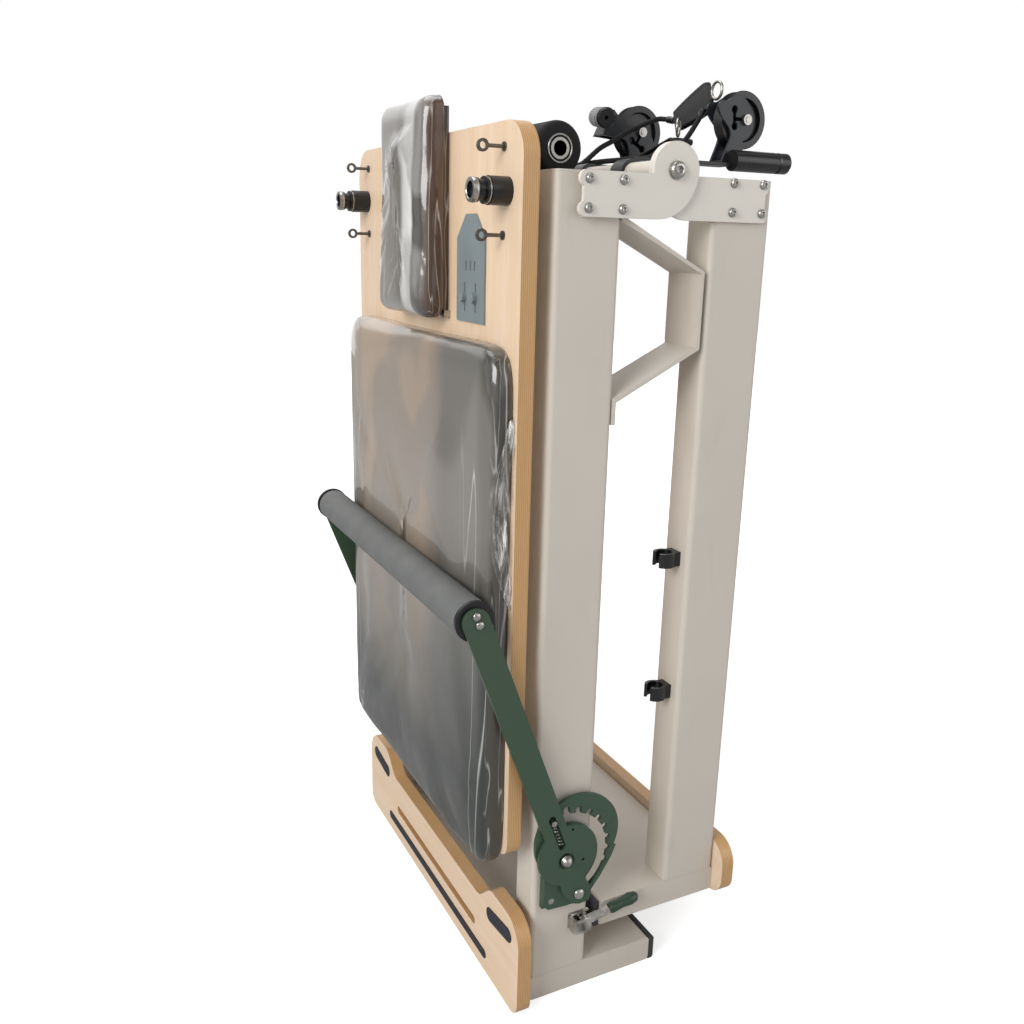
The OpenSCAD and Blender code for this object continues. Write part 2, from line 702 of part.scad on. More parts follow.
// The near loop stands on edge, leaning, with one end against the near fork
near_lean = 20;
near_length = 90;
near_loop_at = [far_x - 9, near_pulley[1] + cheek_out + seat + near_length / 2 * cos(near_lean)
    + loop_width / 2 * sin(near_lean), fold_height + 112];
module at_near_loop() { translate(near_loop_at) rotate([-near_lean, 0, 0]) children(); }
// The far loop lies sloping, with its low end on the far rack bar beside the far fork
far_lean = 14;
far_thick = 11;
far_length = 118;
far_loop_at = [far_x - 31,
    far_pulley[1] - cheek_out - seat - far_length / 2 * cos(far_lean) - far_thick / 2 * sin(far_lean),
    far_rest + seat + far_thick / 2 + (far_length / 2 - far_thick / 2) * sin(far_lean)];
module hand_loops() {
    color("#1b1b1c") place() {
        at_near_loop() rotate([0, 90, 0]) hand_loop(near_length, loop_width, loop_thick);
        translate(far_loop_at) rotate([-far_lean, 0, 0]) hand_loop(far_length, loop_width, far_thick);
    }
}
ring_r = 12;
ring_wire = 2.2;
module ring() { rotate_extrude($fn = 32) translate([ring_r, 0]) circle(ring_wire, $fn = 16); }
ring_out = ring_r + ring_wire;
// Where the second ring stands on the far loop
ring_down_y = 50;
ring_down = far_loop_at + [-4, -ring_down_y, ring_down_y * tan(far_lean) + far_thick / 2 / cos(far_lean) + ring_out
    + 2 * seat];
module rope_hardware() {
    color("#c9c9c9") place() {
        at_near_loop() translate([0, -near_length / 2 - ring_out - seat, 0]) rotate([0, 90, 0]) ring();
        translate(ring_down) rotate([90, 0, 45]) ring();
    }
}

// Tubes swept along a path
function unit(v) = v / norm(v);
function tangent(p, i) = unit(p[min(i + 1, len(p) - 1)] - p[max(i - 1, 0)]);
function flat_to(n, t) = unit(n - (n * t) * t);
function frames(p) = [for (i = 0, n = flat_to([0.1, 0.2, 1], tangent(p, 0)); i < len(p);
    n = flat_to(n, tangent(p, min(i + 1, len(p) - 1))), i = i + 1) [tangent(p, i), n]];
module tube(p, r, sides) {
    f = frames(p);
    n = len(p);
    points = [for (i = [0:n - 1], k = [0:sides - 1])
        p[i] + r * (cos(360 * k / sides) * f[i][1] + sin(360 * k / sides) * cross(f[i][0], f[i][1]))];
    walls = [for (i = [0:n - 2], k = [0:sides - 1]) let (a = i * sides + k, b = i * sides + (k + 1) % sides)
        each [[a, a + sides, b], [b, a + sides, b + sides]]];
    polyhedron(concat(points, [p[0], p[n - 1]]), concat(walls,
        [for (k = [0:sides - 1]) [n * sides, k, (k + 1) % sides]],
        [for (k = [0:sides - 1]) [n * sides + 1, (n - 1) * sides + (k + 1) % sides, (n - 1) * sides + k]]));
}
// A smooth curve through hand-set points
function between(a, b, c, d, t) = 0.5 * ((2 * b) + (c - a) * t + (2 * a - 5 * b + 4 * c - d) * t * t
    + (3 * b - a - 3 * c + d) * t * t * t);
function smooth(p, steps) = concat([for (i = [0:len(p) - 2], s = [0:steps - 1])
    between(p[max(i - 1, 0)], p[i], p[i + 1], p[min(i + 2, len(p) - 1)], s / steps)], [p[len(p) - 1]]);
function least_gap(p, d, skip) = min([for (i = [0:len(p) - 1 - skip], j = [i + skip:len(p) - 1])
    norm(p[i] - p[j])]) - d;
function run_length(p) = [for (i = 0, s = 0; i < len(p); s = i < len(p) - 1 ? s + norm(p[i + 1] - p[i]) : s,
    i = i + 1) s][len(p) - 1];

// A hank: loops with straight runs drawn in at the waist, laid side by side along X
hank_x = 60;
hank_pitch = rope_d + 0.8;
hank_h = 52;
hank_r = 24;
hank_waist = 12;
hank_z = fold_height - 158;
near_hank = [hank_x, -90, hank_z];
far_hank = [hank_x, 8, hank_z];
function hank_point(u, side) = let (k = floor(u + 0.0001), v = u - k)
    v < 0.3 ? [0, side * (hank_r - hank_waist * pow(sin(180 * v / 0.3), 2)), hank_h * (1 - 2 * v / 0.3)] :
    v < 0.5 ? [0, side * hank_r * cos(180 * (v - 0.3) / 0.2), -hank_h - hank_r * sin(180 * (v - 0.3) / 0.2)] :
    v < 0.8 ? [0, -side * (hank_r - hank_waist * pow(sin(180 * (v - 0.5) / 0.3), 2)),
        hank_h * (2 * (v - 0.5) / 0.3 - 1)] :
    [0, -side * hank_r * cos(180 * (v - 0.8) / 0.2), hank_h + hank_r * sin(180 * (v - 0.8) / 0.2)];
hank_end = hank_loops - 0.2;
function hank_path(at, side) = concat([at + [0, side * hank_r, hank_h + rope_d]],
    [for (i = [0:round(hank_end * 24)]) let (u = min(i / 24, hank_end))
        at + hank_point(u, side) + [hank_pitch * u, 0, 0]],
    [at + [hank_pitch * hank_end, -side * hank_r, hank_h + rope_d]]);
// Height at which a rope lies on the cross tube
over_tube = pivot_z + cross_tube_r + rope_d / 2 + seat;
// The ropes' visible stretches, from points measured from the fold axis and the rails' ends
function beside_hinge(points) = [for (p = points) [pivot_x + p[0], p[1], fold_height + p[2]]];
near_route = concat([[near_loop_at[0] - loop_thick / 2 - rope_d / 2 - seat, -173, fold_height + 106]],
    beside_hinge([[142, -171, 86], [123.5, -165, 58], [101.5, -151, 42], [76.5, -128, 36], [52.5, -98, 34],
        [28.5, -74, 31]]),
    [[pivot_x, -63, over_tube]],
    beside_hinge([[-33.5, -56, 17], [-69.5, -42, -4], [-99.5, -24, -36], [-113.5, -16, -70]]),
    [far_hank + [0, -hank_r, hank_h + rope_d]]);
far_route = concat(beside_hinge([[164.5, -81, 100], [158, -66, 103], [146.5, -55, 102], [100.5, -55, 83],
    [74.5, -61, 70], [60.5, -65, 63], [35.5, -72, 51]]),
    [[pivot_x, -75.4, over_tube]],
    beside_hinge([[-33.5, -74, 17], [-69.5, -70, -4], [-99.5, -67, -36], [-113.5, -66, -70]]),
    [near_hank + [0, hank_r, hank_h + rope_d]]);
near_rope = smooth(near_route, 2);
far_rope = smooth(far_route, 2);
module rope_near() { color("#151516") place() tube(near_rope, rope_d / 2, 8); }
module rope_far() { color("#151516") place() tube(far_rope, rope_d / 2, 8); }
module rope_hanks() {
    near_turns = hank_path(near_hank, 1);
    far_turns = hank_path(far_hank, -1);
    echo("rope lengths, mm", run_length(near_rope) + run_length(far_turns),
        run_length(far_rope) + run_length(near_turns));
    echo("least gap of a hank to itself, mm", least_gap(near_turns, rope_d, 6));
    color("#151516") place() {
        tube(near_turns, rope_d / 2, 6);
        tube(far_turns, rope_d / 2, 6);
    }
}

// Two black clips on the underside of the near head-half rail
clip_low = 369;
clip_high = 589;
clip_back = 22;
clip_z = [head_lift + clip_low, head_lift + clip_high];
module stow_clips() {
    color("#161617") place() for (z = clip_z) translate([right_x - clip_back, -half + rail_width / 2, z])
        linear_extrude(22) difference() {
            union() {
                circle(17);
                translate([10, -12]) square([12, 24]);
            }
            circle(12);
            polygon([[0, 0], [-30, 17], [-30, -17]]);
        }
}

// Carriage
module carriage_board() {
    a = board_width / 2;
    color("#e4c9a4") place() through(board_front, board_back) polygon(concat(
        arc(a - 26, board_low + 26, 26, -90, 0, 8), arc(a - board_corner, board_high - board_corner, board_corner, 0, 90, 10),
        arc(-a + board_corner, board_high - board_corner, board_corner, 90, 180, 10),
        arc(-a + 26, board_low + 26, 26, 180, 270, 8)));
}
// A cushion: rings of a rounded rectangle with drawn-in sides, stepping up to a crown
function cushion_ring(w, h, r, draw) = [for (c = [0:3]) let (
        sx = c == 0 || c == 3 ? 1 : -1, sy = c < 2 ? 1 : -1, along = c % 2 == 0 ? h : w)
    each concat([for (i = [0:4]) let (a = 90 * c + 22.5 * i - 0)
            [sx * (w / 2 - r) + r * cos(a), sy * (h / 2 - r) + r * sin(a)]],
        [for (i = [1:5]) let (s = i / 6, pull = draw * 4 * s * (1 - s))
            c == 0 ? [(w / 2 - r) * (1 - 2 * s), h / 2 - pull] :
            c == 1 ? [-w / 2 + pull, (h / 2 - r) * (1 - 2 * s)] :
            c == 2 ? [(r - w / 2) * (1 - 2 * s), -h / 2 + pull] :
            [w / 2 - pull, (r - h / 2) * (1 - 2 * s)]])];
// Steps of [inset, rise as a share of the thickness]
cushion_steps = [[3, 0], [0, 0.16], [0, 0.5], [2, 0.74], [7, 0.88], [16, 0.94], [40, 0.98], [80, 1]];
module cushion(w, h, r, thick, draw, steps) {
    rings = [for (s = steps) cushion_ring(w - 2 * s[0], h - 2 * s[0], max(r - s[0] / 2, 6), draw)];
    n = len(rings[0]);
    m = len(rings);
    points = concat([for (j = [0:m - 1], q = rings[j]) [-thick * steps[j][1], q[0], q[1]]],
        [[0, 0, 0], [-thick, 0, 0]]);
    polyhedron(points, concat(
        [for (j = [0:m - 2], i = [0:n - 1]) let (a = j * n + i, b = j * n + (i + 1) % n)
            each [[a, b, a + n], [b, b + n, a + n]]],
        [for (i = [0:n - 1]) [m * n, (i + 1) % n, i]],
        [for (i = [0:n - 1]) [m * n + 1, (m - 1) * n + i, (m - 1) * n + (i + 1) % n]]));
}
module carriage_pad() {
    color("#8b8078") place() translate([board_front, 0, (pad_low + pad_high) / 2])
        cushion(pad_width, pad_high - pad_low, 42, pad_thick, 5, cushion_steps);
}
base_thick = 10;
module headrest() {
    color("#8b8078") place() translate([board_front - base_thick - seat, 0, (headrest_low + headrest_high) / 2])
        cushion(headrest_width, headrest_high - headrest_low, 20, headrest_thick, 3,
            [for (s = cushion_steps) [min(s[0], 34), s[1]]]);
}
// The headrest tilts on a pin along its lower edge
head_pin_x = board_front - base_thick / 2 - seat;
head_pin_z = headrest_low + 8;
head_pin_r = 3;
module headrest_base() {
    w = headrest_width / 2 - 8;
    color("#d8bb92") place() difference() {
        union() {
            slab([board_front - base_thick - seat, -w, head_pin_z], [board_front - seat, w, headrest_high - 8]);
            rod_y(head_pin_x, head_pin_z, base_thick / 2, -w, w);
        }
        rod_y(head_pin_x, head_pin_z, head_pin_r + running, -w - 1, w + 1);
    }
}
module headrest_pin() {
    w = headrest_width / 2 - 8;
    color("#b4b4b2") place() {
        rod_y(head_pin_x, head_pin_z, head_pin_r, -w - 8, w + 8);
        pair() slab([board_front - base_thick, w + 1, head_pin_z - 5], [board_front, w + 9, head_pin_z + 5]);
    }
}
post_y = board_width / 2 - 43;
post_z = board_high - 85;
module shoulder_posts() {
    color("#17171a") place() pair() translate([board_front, post_y, post_z]) rotate([0, -90, 0]) rotate_extrude()
        polygon([[0, 0], [18, 0], [18, 28], [15.5, 28], [15.5, 31], [17, 31], [17, 34], [13, 34], [13, 43],
            [15, 43], [15, 52], [10, 52], [10, 46], [0, 46]]);
}
hook_y = board_width / 2 - 53;
hook_z = [board_high - 139, board_high - 31];
module rope_hooks() {
    color("#b0ada6") place() pair() for (z = hook_z) {
        rod_x(hook_y, z, 6, board_front - 2, board_front);
        rod_x(hook_y, z, 2.5, board_front - 26, board_front - 2);
        difference() {
            rod_y(board_front - 31, z, 8, hook_y - 2, hook_y + 2);
            rod_y(board_front - 31, z, 4.5, hook_y - 3, hook_y + 3);
        }
    }
}
plate_y = -171;
plate_drop = 257;
plate_z = board_high - plate_drop;
plate_half = 46;
plate_shoulder = 114;
plate_top = 146;
plate_top_half = 16;
plate_knob_y = 18;
module rope_plate() {
    color("#7f8789") place() translate([0, plate_y, plate_z]) {
        through(board_front - 3, board_front) difference() {
            polygon([[-plate_half, 0], [plate_half, 0], [plate_half, plate_shoulder],
                [plate_top_half, plate_top], [-plate_top_half, plate_top], [-plate_half, plate_shoulder]]);
            for (y = [-14, 0, 14]) slot_between([y, 72], [y, 82], 2);
            for (y = [-plate_knob_y, plate_knob_y]) slot_between([y, 16], [y, 52], 2);
        }
        for (y = [-plate_knob_y, plate_knob_y]) rod_x(y, 34, 7, board_front - 10, board_front - 3);
    }
}
// Wheel brackets under the board, each with its axle
module wheel_brackets() {
    y0 = inner - wheel_width - 8;
    color("#6c7074") place() pair() for (z = wheel_z) {
        slab([board_back, y0 - 26, z - 20], [board_back + 4, y0, z + 20]);
        across(y0 - 4, y0) {
            translate([board_back, z - 16]) square([wheel_x - board_back, 32]);
            translate([wheel_x, z]) circle(14);
        }
        rod_y(wheel_x, z, axle_r, y0, inner - 1);
        rod_y(wheel_x, z, 7, y0, y0 + 6);
    }
}
module carriage_wheel(z, s) {
    w = wheel_width / 2;
    translate([wheel_x, s * (inner - 1.5 - w), z]) rotate([90, 0, 0]) rotate_extrude()
        polygon([[axle_r + running, -w], [9, -w], [9, -w + 2], [wheel_r - 5, -w + 2], [wheel_r - 5, -w], [wheel_r - 1, -w],
            [wheel_r, -w + 1], [wheel_r, w - 1], [wheel_r - 1, w], [wheel_r - 5, w], [wheel_r - 5, w - 2],
            [9, w - 2], [9, w], [axle_r + running, w]]);
}
module wheel_near_foot() { color("#3a3a3d") place() carriage_wheel(wheel_z[0], -1); }
module wheel_near_head() { color("#3a3a3d") place() carriage_wheel(wheel_z[1], -1); }
module wheel_far_foot() { color("#3a3a3d") place() carriage_wheel(wheel_z[0], 1); }
module wheel_far_head() { color("#3a3a3d") place() carriage_wheel(wheel_z[1], 1); }

// Springs under the carriage, hanging unhooked from the spring bar
spring_curls = 9;
spring_r = 11;
spring_wire = 3.2;
spring_pitch = 16;
spring_top = board_low + 448;
spring_x = board_back + 20;
// A wound spring going up from a point on its axis, with a straight stretch at each end
function coil(at, r, pitch, curls, lead) = concat([at + [r, 0, -lead], at + [r, 0, -lead / 2]],
    [for (i = [0:8 * curls]) at + [r * cos(45 * i), r * sin(45 * i), pitch * i / 8]],
    [at + [r, 0, pitch * curls + lead / 2], at + [r, 0, pitch * curls + lead]]);
function spring_path(y) = coil([spring_x, y, spring_top - spring_curls * spring_pitch], spring_r, spring_pitch,
    spring_curls, 3 * spring_wire);
module carriage_springs() {
    echo("least gap of a spring to itself, mm", least_gap(spring_path(0), spring_wire, 6));
    color("#9a9c9e") place() {
        for (y = spring_y) tube(spring_path(y), spring_wire / 2, 6);
        for (y = spring_y) slab([board_back, y - 12, spring_top + 3 * spring_wire], [spring_x + spring_r + 4, y + 12,
            spring_top + 3 * spring_wire + 5]);
    }
}

left_rails();
left_rail_caps();
foot_leg();
foot_leg_rubber();
left_tracks();
spring_bar();
carriage_stops();
mid_legs();
standing_platform();
platform_spacers();
platform_grips();
hinge_plates_left();
hinge_cross_tube();
hinge_hardware();
gear_plates();
gear_screws();
release_bracket();
release_lever();
release_grip();
stowage_rack();
foam_roll();
foam_roll_tube();
pulley_forks();
pulley_stubs();
pulley_axles();
pulley_wheel_near();
pulley_wheel_far();
hand_loops();
rope_hardware();
rope_near();
rope_far();
rope_hanks();
right_rails();
right_rail_caps();
head_leg();
head_leg_rubber();
right_tracks();
head_board();
hinge_plates_right();
hinge_screws_right();
stow_clips();
carriage_board();
carriage_pad();
headrest();
headrest_base();
headrest_pin();
shoulder_posts();
rope_hooks();
rope_plate();
wheel_brackets();
carriage_springs();
wheel_near_foot();
wheel_near_head();
wheel_far_foot();
wheel_far_head();
footbar_arms();
footbar_tube();
footbar_pad();
footbar_caps();
footbar_hardware();
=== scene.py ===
"""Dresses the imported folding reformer: finishes for its solids, and its soft and fine pieces.

Lengths written in millimetres are the part's own drawing lengths, and drawn() turns them into the frame's
metres.
"""

from __future__ import annotations

import logging
import math
from dataclasses import dataclass
from typing import Callable, Dict, List, Mapping, Optional, Sequence, Tuple, Union

import bmesh
import bpy
import numpy as np
from mathutils import Matrix, Vector, noise


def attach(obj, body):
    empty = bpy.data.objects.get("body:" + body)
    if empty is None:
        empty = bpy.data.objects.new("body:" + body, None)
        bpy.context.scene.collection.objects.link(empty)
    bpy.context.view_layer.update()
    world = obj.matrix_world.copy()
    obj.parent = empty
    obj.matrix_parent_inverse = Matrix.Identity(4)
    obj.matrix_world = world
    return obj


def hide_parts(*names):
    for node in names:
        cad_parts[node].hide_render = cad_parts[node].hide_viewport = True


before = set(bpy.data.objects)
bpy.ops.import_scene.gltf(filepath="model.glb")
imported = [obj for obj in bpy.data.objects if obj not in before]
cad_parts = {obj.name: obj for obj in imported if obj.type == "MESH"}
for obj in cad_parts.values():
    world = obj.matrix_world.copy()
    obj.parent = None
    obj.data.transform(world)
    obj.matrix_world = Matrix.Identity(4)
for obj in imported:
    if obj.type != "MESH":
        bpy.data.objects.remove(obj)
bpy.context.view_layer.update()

LOG = logging.getLogger("reformer")
# The drawing's x of the frame's origin, in millimetres
MIDDLE_X = 154.75
# Radians in one turn of a shader's wave
FULL_TURN = 6.283
Point = Tuple[float, float, float]
Pairs = Tuple[Tuple[float, float], ...]
PLAIN: Point = (1.0, 1.0, 1.0)
STILL: Point = (0.0, 0.0, 0.0)
Colour = Tuple[float, float, float, float]


def drawn(x: float, y: float, z: float) -> Vector:
    """A point of the drawing, in millimetres, as a point of the frame in metres."""
    return Vector(((x - MIDDLE_X) / 1000, y / 1000, z / 1000))


def paint(code: str) -> Colour:
    """Turns a colour written as six hexadecimal digits into linear light with a full alpha."""
    parts = [int(code[i:i + 2], 16) / 255 for i in (0, 2, 4)]
    red, green, blue = [c / 12.92 if c <= 0.04045 else ((c + 0.055) / 1.055) ** 2.4 for c in parts]
    return (red, green, blue, 1.0)


# Shader writing


def operator(operation: str, swapped: bool = False) -> Callable[["Sock", "Value"], "Sock"]:
    """A Python operator that adds the Math node of that name, with its two values swapped if asked."""

    def join(self: "Sock", other: "Value") -> "Sock":
        """Joins this socket and another value."""
        first, second = (other, self) if swapped else (self, other)
        return self.shader.node("ShaderNodeMath", {"operation": operation}, {0: first, 1: second})

    return join


@dataclass
class Sock:
    """An output socket that takes part in Python arithmetic on values."""

    shader: "Shader"
    socket: bpy.types.NodeSocket

    __add__, __radd__ = operator("ADD"), operator("ADD", True)
    __sub__, __rsub__ = operator("SUBTRACT"), operator("SUBTRACT", True)
    __mul__, __rmul__ = operator("MULTIPLY"), operator("MULTIPLY", True)
    __pow__ = operator("POWER")
    # 1 where the first value is above the second, else 0
    __gt__ = operator("GREATER_THAN")

    def __abs__(self) -> "Sock":
        """The size of the value."""
        return self.shader.node("ShaderNodeMath", {"operation": "ABSOLUTE"}, {0: self})


Value = Union[float, Colour, Sequence[float], Sock]
Tint = Union[str, Sock]


class Shader:
    """The node tree of one material, or of the world."""

    def __init__(self, name: str, world: Optional[bpy.types.World] = None) -> None:
        """Makes an empty material, or clears the world given, and adds an output node."""
        self.material = world or bpy.data.materials.new(name)
        self.material.use_nodes = True
        self.tree = self.material.node_tree
        self.tree.nodes.clear()
        self.output = self.tree.nodes.new("ShaderNodeOutputWorld" if world else "ShaderNodeOutputMaterial")

    def node(self, kind: str, settings: Optional[Mapping[str, object]] = None,
             inputs: Optional[Mapping[Union[int, str], Value]] = None, out: Union[int, str] = 0) -> Sock:
        """Adds any node.

        Args:
            kind: The node's type.
            settings: Its own settings, set first. "stops" holds a ramp's (place, colour) pairs.
            inputs: A value or a link for each named or numbered input.
            out: The output that is wanted.

        Returns:
            That output.
        """
        made = self.tree.nodes.new(kind)
        for name, value in (settings or {}).items():
            if name == "stops":
                ramp = made.color_ramp
                while len(ramp.elements) < len(value):
                    ramp.elements.new(1.0)
                for element, (place, colour) in zip(ramp.elements, value):
                    element.position = place
                    element.color = colour
            else:
                setattr(made, name, value)
        for key, value in (inputs or {}).items():
            if isinstance(value, Sock):
                self.tree.links.new(value.socket, made.inputs[key])
            else:
                made.inputs[key].default_value = value
        return Sock(self, made.outputs[out])

    def place(self, stretch: Point = PLAIN, turn: Point = STILL) -> Sock:
        """The object's own coordinates, turned and stretched."""
        own = self.node("ShaderNodeTexCoord", out="Object")
        return self.node("ShaderNodeMapping", {}, {"Vector": own, "Rotation": turn, "Scale": stretch})

    def coordinate(self, space: str, axis: str) -> Sock:
        """One coordinate, X, Y or Z, of the object's own place, normal or unwrapping."""
        whole = self.node("ShaderNodeTexCoord", out=space)
        return self.node("ShaderNodeSeparateXYZ", {}, {0: whole}, out=axis)

    def noise(self, scale: float, detail: float = 2.0, stretch: Point = PLAIN, warp: float = 0.0,
              turn: Point = STILL) -> Sock:
        """A noise value about 0.5, drawn in the object's own coordinates."""
        return self.node("ShaderNodeTexNoise", {}, {"Vector": self.place(stretch, turn), "Scale": scale,
                                                    "Detail": detail, "Distortion": warp})

    def cells(self, scale: float) -> Sock:
        """Round cells: 0 in the middle of each, rising outwards."""
        return self.node("ShaderNodeTexVoronoi", {"feature": "F1"}, {"Vector": self.place(), "Scale": scale})

    def weave(self, one: Sock, two: Sock) -> Sock:
        """Two waves that cross, from 0 to 1, each given in turns."""
        first, second = (self.node("ShaderNodeMath", {"operation": "SINE"}, {0: turns * FULL_TURN})
                         for turns in (one, two))
        return self.span(first * second, -1.0, 1.0)

    def ridges(self, scale: float, detail: float, stretch: Point, warp: float, sharp: float,
               turn: Point = STILL) -> Sock:
        """Thin raised lines, such as a film's creases: 1 on a line, falling to 0 the faster the sharper."""
        return (1 - abs(self.noise(scale, detail, stretch, warp, turn) * 2 - 1)) ** sharp

    def blend(self, factor: Value, first: Tint, second: Tint) -> Sock:
        """Mixes two colours, each a socket or six hexadecimal digits."""
        first, second = (paint(tint) if isinstance(tint, str) else tint for tint in (first, second))
        return self.node("ShaderNodeMix", {"data_type": "RGBA"}, {0: factor, 6: first, 7: second}, out=2)

    def span(self, value: Value, low: float, high: float, to_low: float = 0.0, to_high: float = 1.0) -> Sock:
        """Maps a value from one range to another, held at its ends."""
        return self.node("ShaderNodeMapRange", {}, {"Value": value, "From Min": low, "From Max": high,
                                                    "To Min": to_low, "To Max": to_high})

    def worn(self, wear: Value, rough: float) -> Sock:
        """A roughness a little under and over its middle value."""
        return self.span(wear, 0.0, 1.0, rough - 0.06, rough + 0.08)

    def bump(self, height: Value, strength: float, depth: float, under: Optional[Sock] = None) -> Sock:
        """A normal from a height, over another normal if one is given."""
        inputs: Dict[Union[int, str], Value] = {"Height": height, "Strength": strength, "Distance": depth}
        if under is not None:
            inputs["Normal"] = under
        return self.node("ShaderNodeBump", {}, inputs)

    def edges(self, radius: float) -> Sock:
        """A normal that rounds sharp edges."""
        return self.node("ShaderNodeBevel", {"samples": 4}, {"Radius": radius})

    def show(self, made: Sock) -> None:
        """Joins a shader to the output."""
        self.tree.links.new(made.socket, self.output.inputs["Surface"])

    def surface(self, values: Mapping[str, Value]) -> None:
        """Adds the Principled shader and joins it to the output."""
        self.show(self.node("ShaderNodeBsdfPrincipled", {}, values))


# Finishes


def powder_coat(s: Shader, colour: str, rough: float, peel: float, mark: str, marks: float = 0.25) -> None:
    """Satin powder coat with a fine orange peel and faint handling marks."""
    tone = s.span(s.noise(3.0, 3.0), 0.3, 0.7)
    rubs = s.span(s.noise(22.0, 6.0, (1.0, 1.0, 0.25), 0.6), 0.6, 0.72) * marks
    s.surface({
        "Base Color": s.blend(rubs, s.blend(tone * 0.35, colour, mark), mark),
        "Roughness": s.span(s.noise(9.0, 4.0), 0.3, 0.7, rough - 0.05, rough + 0.07),
        "Specular IOR Level": 0.5,
        "Normal": s.bump(s.noise(700.0, 1.0), peel, 0.0006, s.edges(0.0012)),
    })


def plywood(s: Shader, grain: Point) -> None:
    """Lacquered plywood: pale face veneer with its grain one way, and thin plies on every edge."""
    ply = 0.0029
    bands = s.span(s.noise(34.0, 5.0, grain, 0.5), 0.35, 0.72)
    fine = s.span(s.noise(420.0, 3.0, grain), 0.35, 0.75)
    broad = s.span(s.noise(5.0, 2.0, grain), 0.3, 0.7)
    veneer = s.blend(bands * 0.55, "e3cab0", "d6b48b")
    veneer = s.blend(broad * 0.25, s.blend(fine * 0.22, veneer, "b98f5f"), "efdcc0")
    across = s.coordinate("Object", "X") + s.noise(60.0, 2.0) * 0.0004
    layer = s.node("ShaderNodeMath", {"operation": "PINGPONG"}, {0: across, 1: ply / 2})
    plies = s.blend(s.span(layer, ply * 0.17, ply * 0.33), "c8a06f", "b48a59")
    plies = s.blend(s.span(s.noise(150.0, 4.0, (1.0, 0.4, 0.4)), 0.4, 0.75) * 0.4, plies, "b98a56")
    s.surface({
        "Base Color": s.blend(abs(s.coordinate("Normal", "X")) > 0.7, plies, veneer),
        "Roughness": s.span(bands, 0.0, 1.0, 0.34, 0.44),
        "Coat Weight": 0.25,
        "Coat Roughness": 0.25,
        "Normal": s.bump(fine * 0.6 + bands * 0.4, 0.12, 0.0005, s.edges(0.0016)),
    })


@dataclass(frozen=True)
class Tones:
    """A cover's broad tones, its own colours with painted reflections and shade: stops of (place, colour)
    across it, its patches, its low end and its side.
    """

    # Across it: the cover's own taupe and grey, with painted reflections such as dark bands by the near edge
    # and bright bands
    stops: Tuple[Tuple[float, str], ...]
    # Colour of the painted reflection patches
    reflection_patch: str
    # A painted darker reflection towards the bottom
    lower: str
    # The side's darker tone: partly the cover's own colour, partly painted shade
    side: str
    # In metres: half its width, the heights over which its painted darker low end gives way, and where its
    # painted edge highlights start
    half: float
    low: float
    high: float
    edge: float


def pad_cover(s: Shader, tones: Tones, edge_highlight: float = 0.45, side_highlight: float = 0.35,
              slant: float = 0.0) -> None:
    """Smooth cover under a tight clear film: its own colours with painted reflections and shade, painted
    highlights along its creases, and the creases themselves.
    """
    y = s.coordinate("Object", "Y")
    on_side = s.span(s.coordinate("Normal", "Y"), -0.45, -0.85)
    drift = (s.noise(3.0, 2.0, (1.0, 1.0, 0.5), 1.0) - 0.5) * tones.half * 0.3
    # Tones across the cover: its own taupe and grey, with painted reflections
    stops = [(place, paint(code)) for place, code in tones.stops]
    base = s.node("ShaderNodeValToRGB", {"stops": stops}, {0: s.span(y + drift, -tones.half, tones.half)})
    # Painted reflection patches
    base = s.blend(s.span(s.noise(3.4, 1.6, (1.0, 1.0, 0.7), 1.3), 0.50, 0.55) * 0.6, base, tones.reflection_patch)
    # Painted darker reflection towards the bottom; the side's darker tone is partly painted shade
    high = s.coordinate("Object", "Z") + s.noise(2.2, 2.0) * 0.25
    lit = s.span(high, tones.low + 0.12, tones.high + 0.12)
    base = s.blend(on_side, s.blend(lit, tones.lower, base), tones.side)
    base = s.blend(s.span(s.noise(420.0, 2.0), 0.35, 0.7) * 0.10, base, "3f3c38")
    upright = s.ridges(15.0, 2.0, (1.0, 1.0, 0.07), 0.3, 45.0, (slant, 0.0, 0.0))
    fine = s.ridges(60.0, 2.0, (1.0, 1.0, 0.08), 0.4, 18.0, (slant * 2.2, 0.0, 0.0))
    loose = s.ridges(5.0, 2.0, (1.0, 2.2, 1.5), 1.4, 60.0, (0.6, 0.0, 0.0))
    # Painted highlights: near-white streaks along the creases by the edges and on the sides
    by_edge = s.span(abs(y), tones.edge - 0.05, tones.edge)
    edge_highlights = s.span(upright, 0.30, 0.95) * by_edge * edge_highlight
    base = s.blend(edge_highlights + s.span(fine, 0.45, 1.0) * on_side * side_highlight, base, "efeeeb")
    height = (upright * by_edge * 0.6 + fine * on_side * 0.6 + loose * 0.08
              + s.noise(3.0, 1.0, (1.0, 1.4, 0.8), 0.4))
    s.surface({
        "Base Color": base,
        "Roughness": s.span(s.noise(12.0, 3.0), 0.3, 0.7, 0.32, 0.44),
        "Coat Weight": s.span(lit, 0.0, 0.6, 0.3, 1.0),
        "Coat Roughness": 0.05,
        "Coat IOR": 1.5,
        "Normal": s.bump(height, 0.22, 0.004),
    })


def clear_film_painted_highlights(s: Shader) -> None:
    """Crumpled clear film, with painted highlights: near-white along its creases."""
    flow = s.ridges(70.0, 3.0, (1.0, 1.0, 0.13), 1.0, 5.0)
    broad = s.span(s.noise(26.0, 3.0, (1.0, 1.0, 0.3), 0.8), 0.42, 0.62)
    # The creases' mask also paints near-white highlights along them
    creases = s.span(flow * (0.35 + 0.65 * broad), 0.15, 0.8)
    s.surface({
        "Base Color": s.blend(creases, "8d8a83", "f4f3ef"),
        "Roughness": 0.10,
        "Alpha": s.span(creases, 0.0, 1.0, 0.22, 0.92),
        "Normal": s.bump(flow + broad * 0.6, 0.9, 0.002),
    })


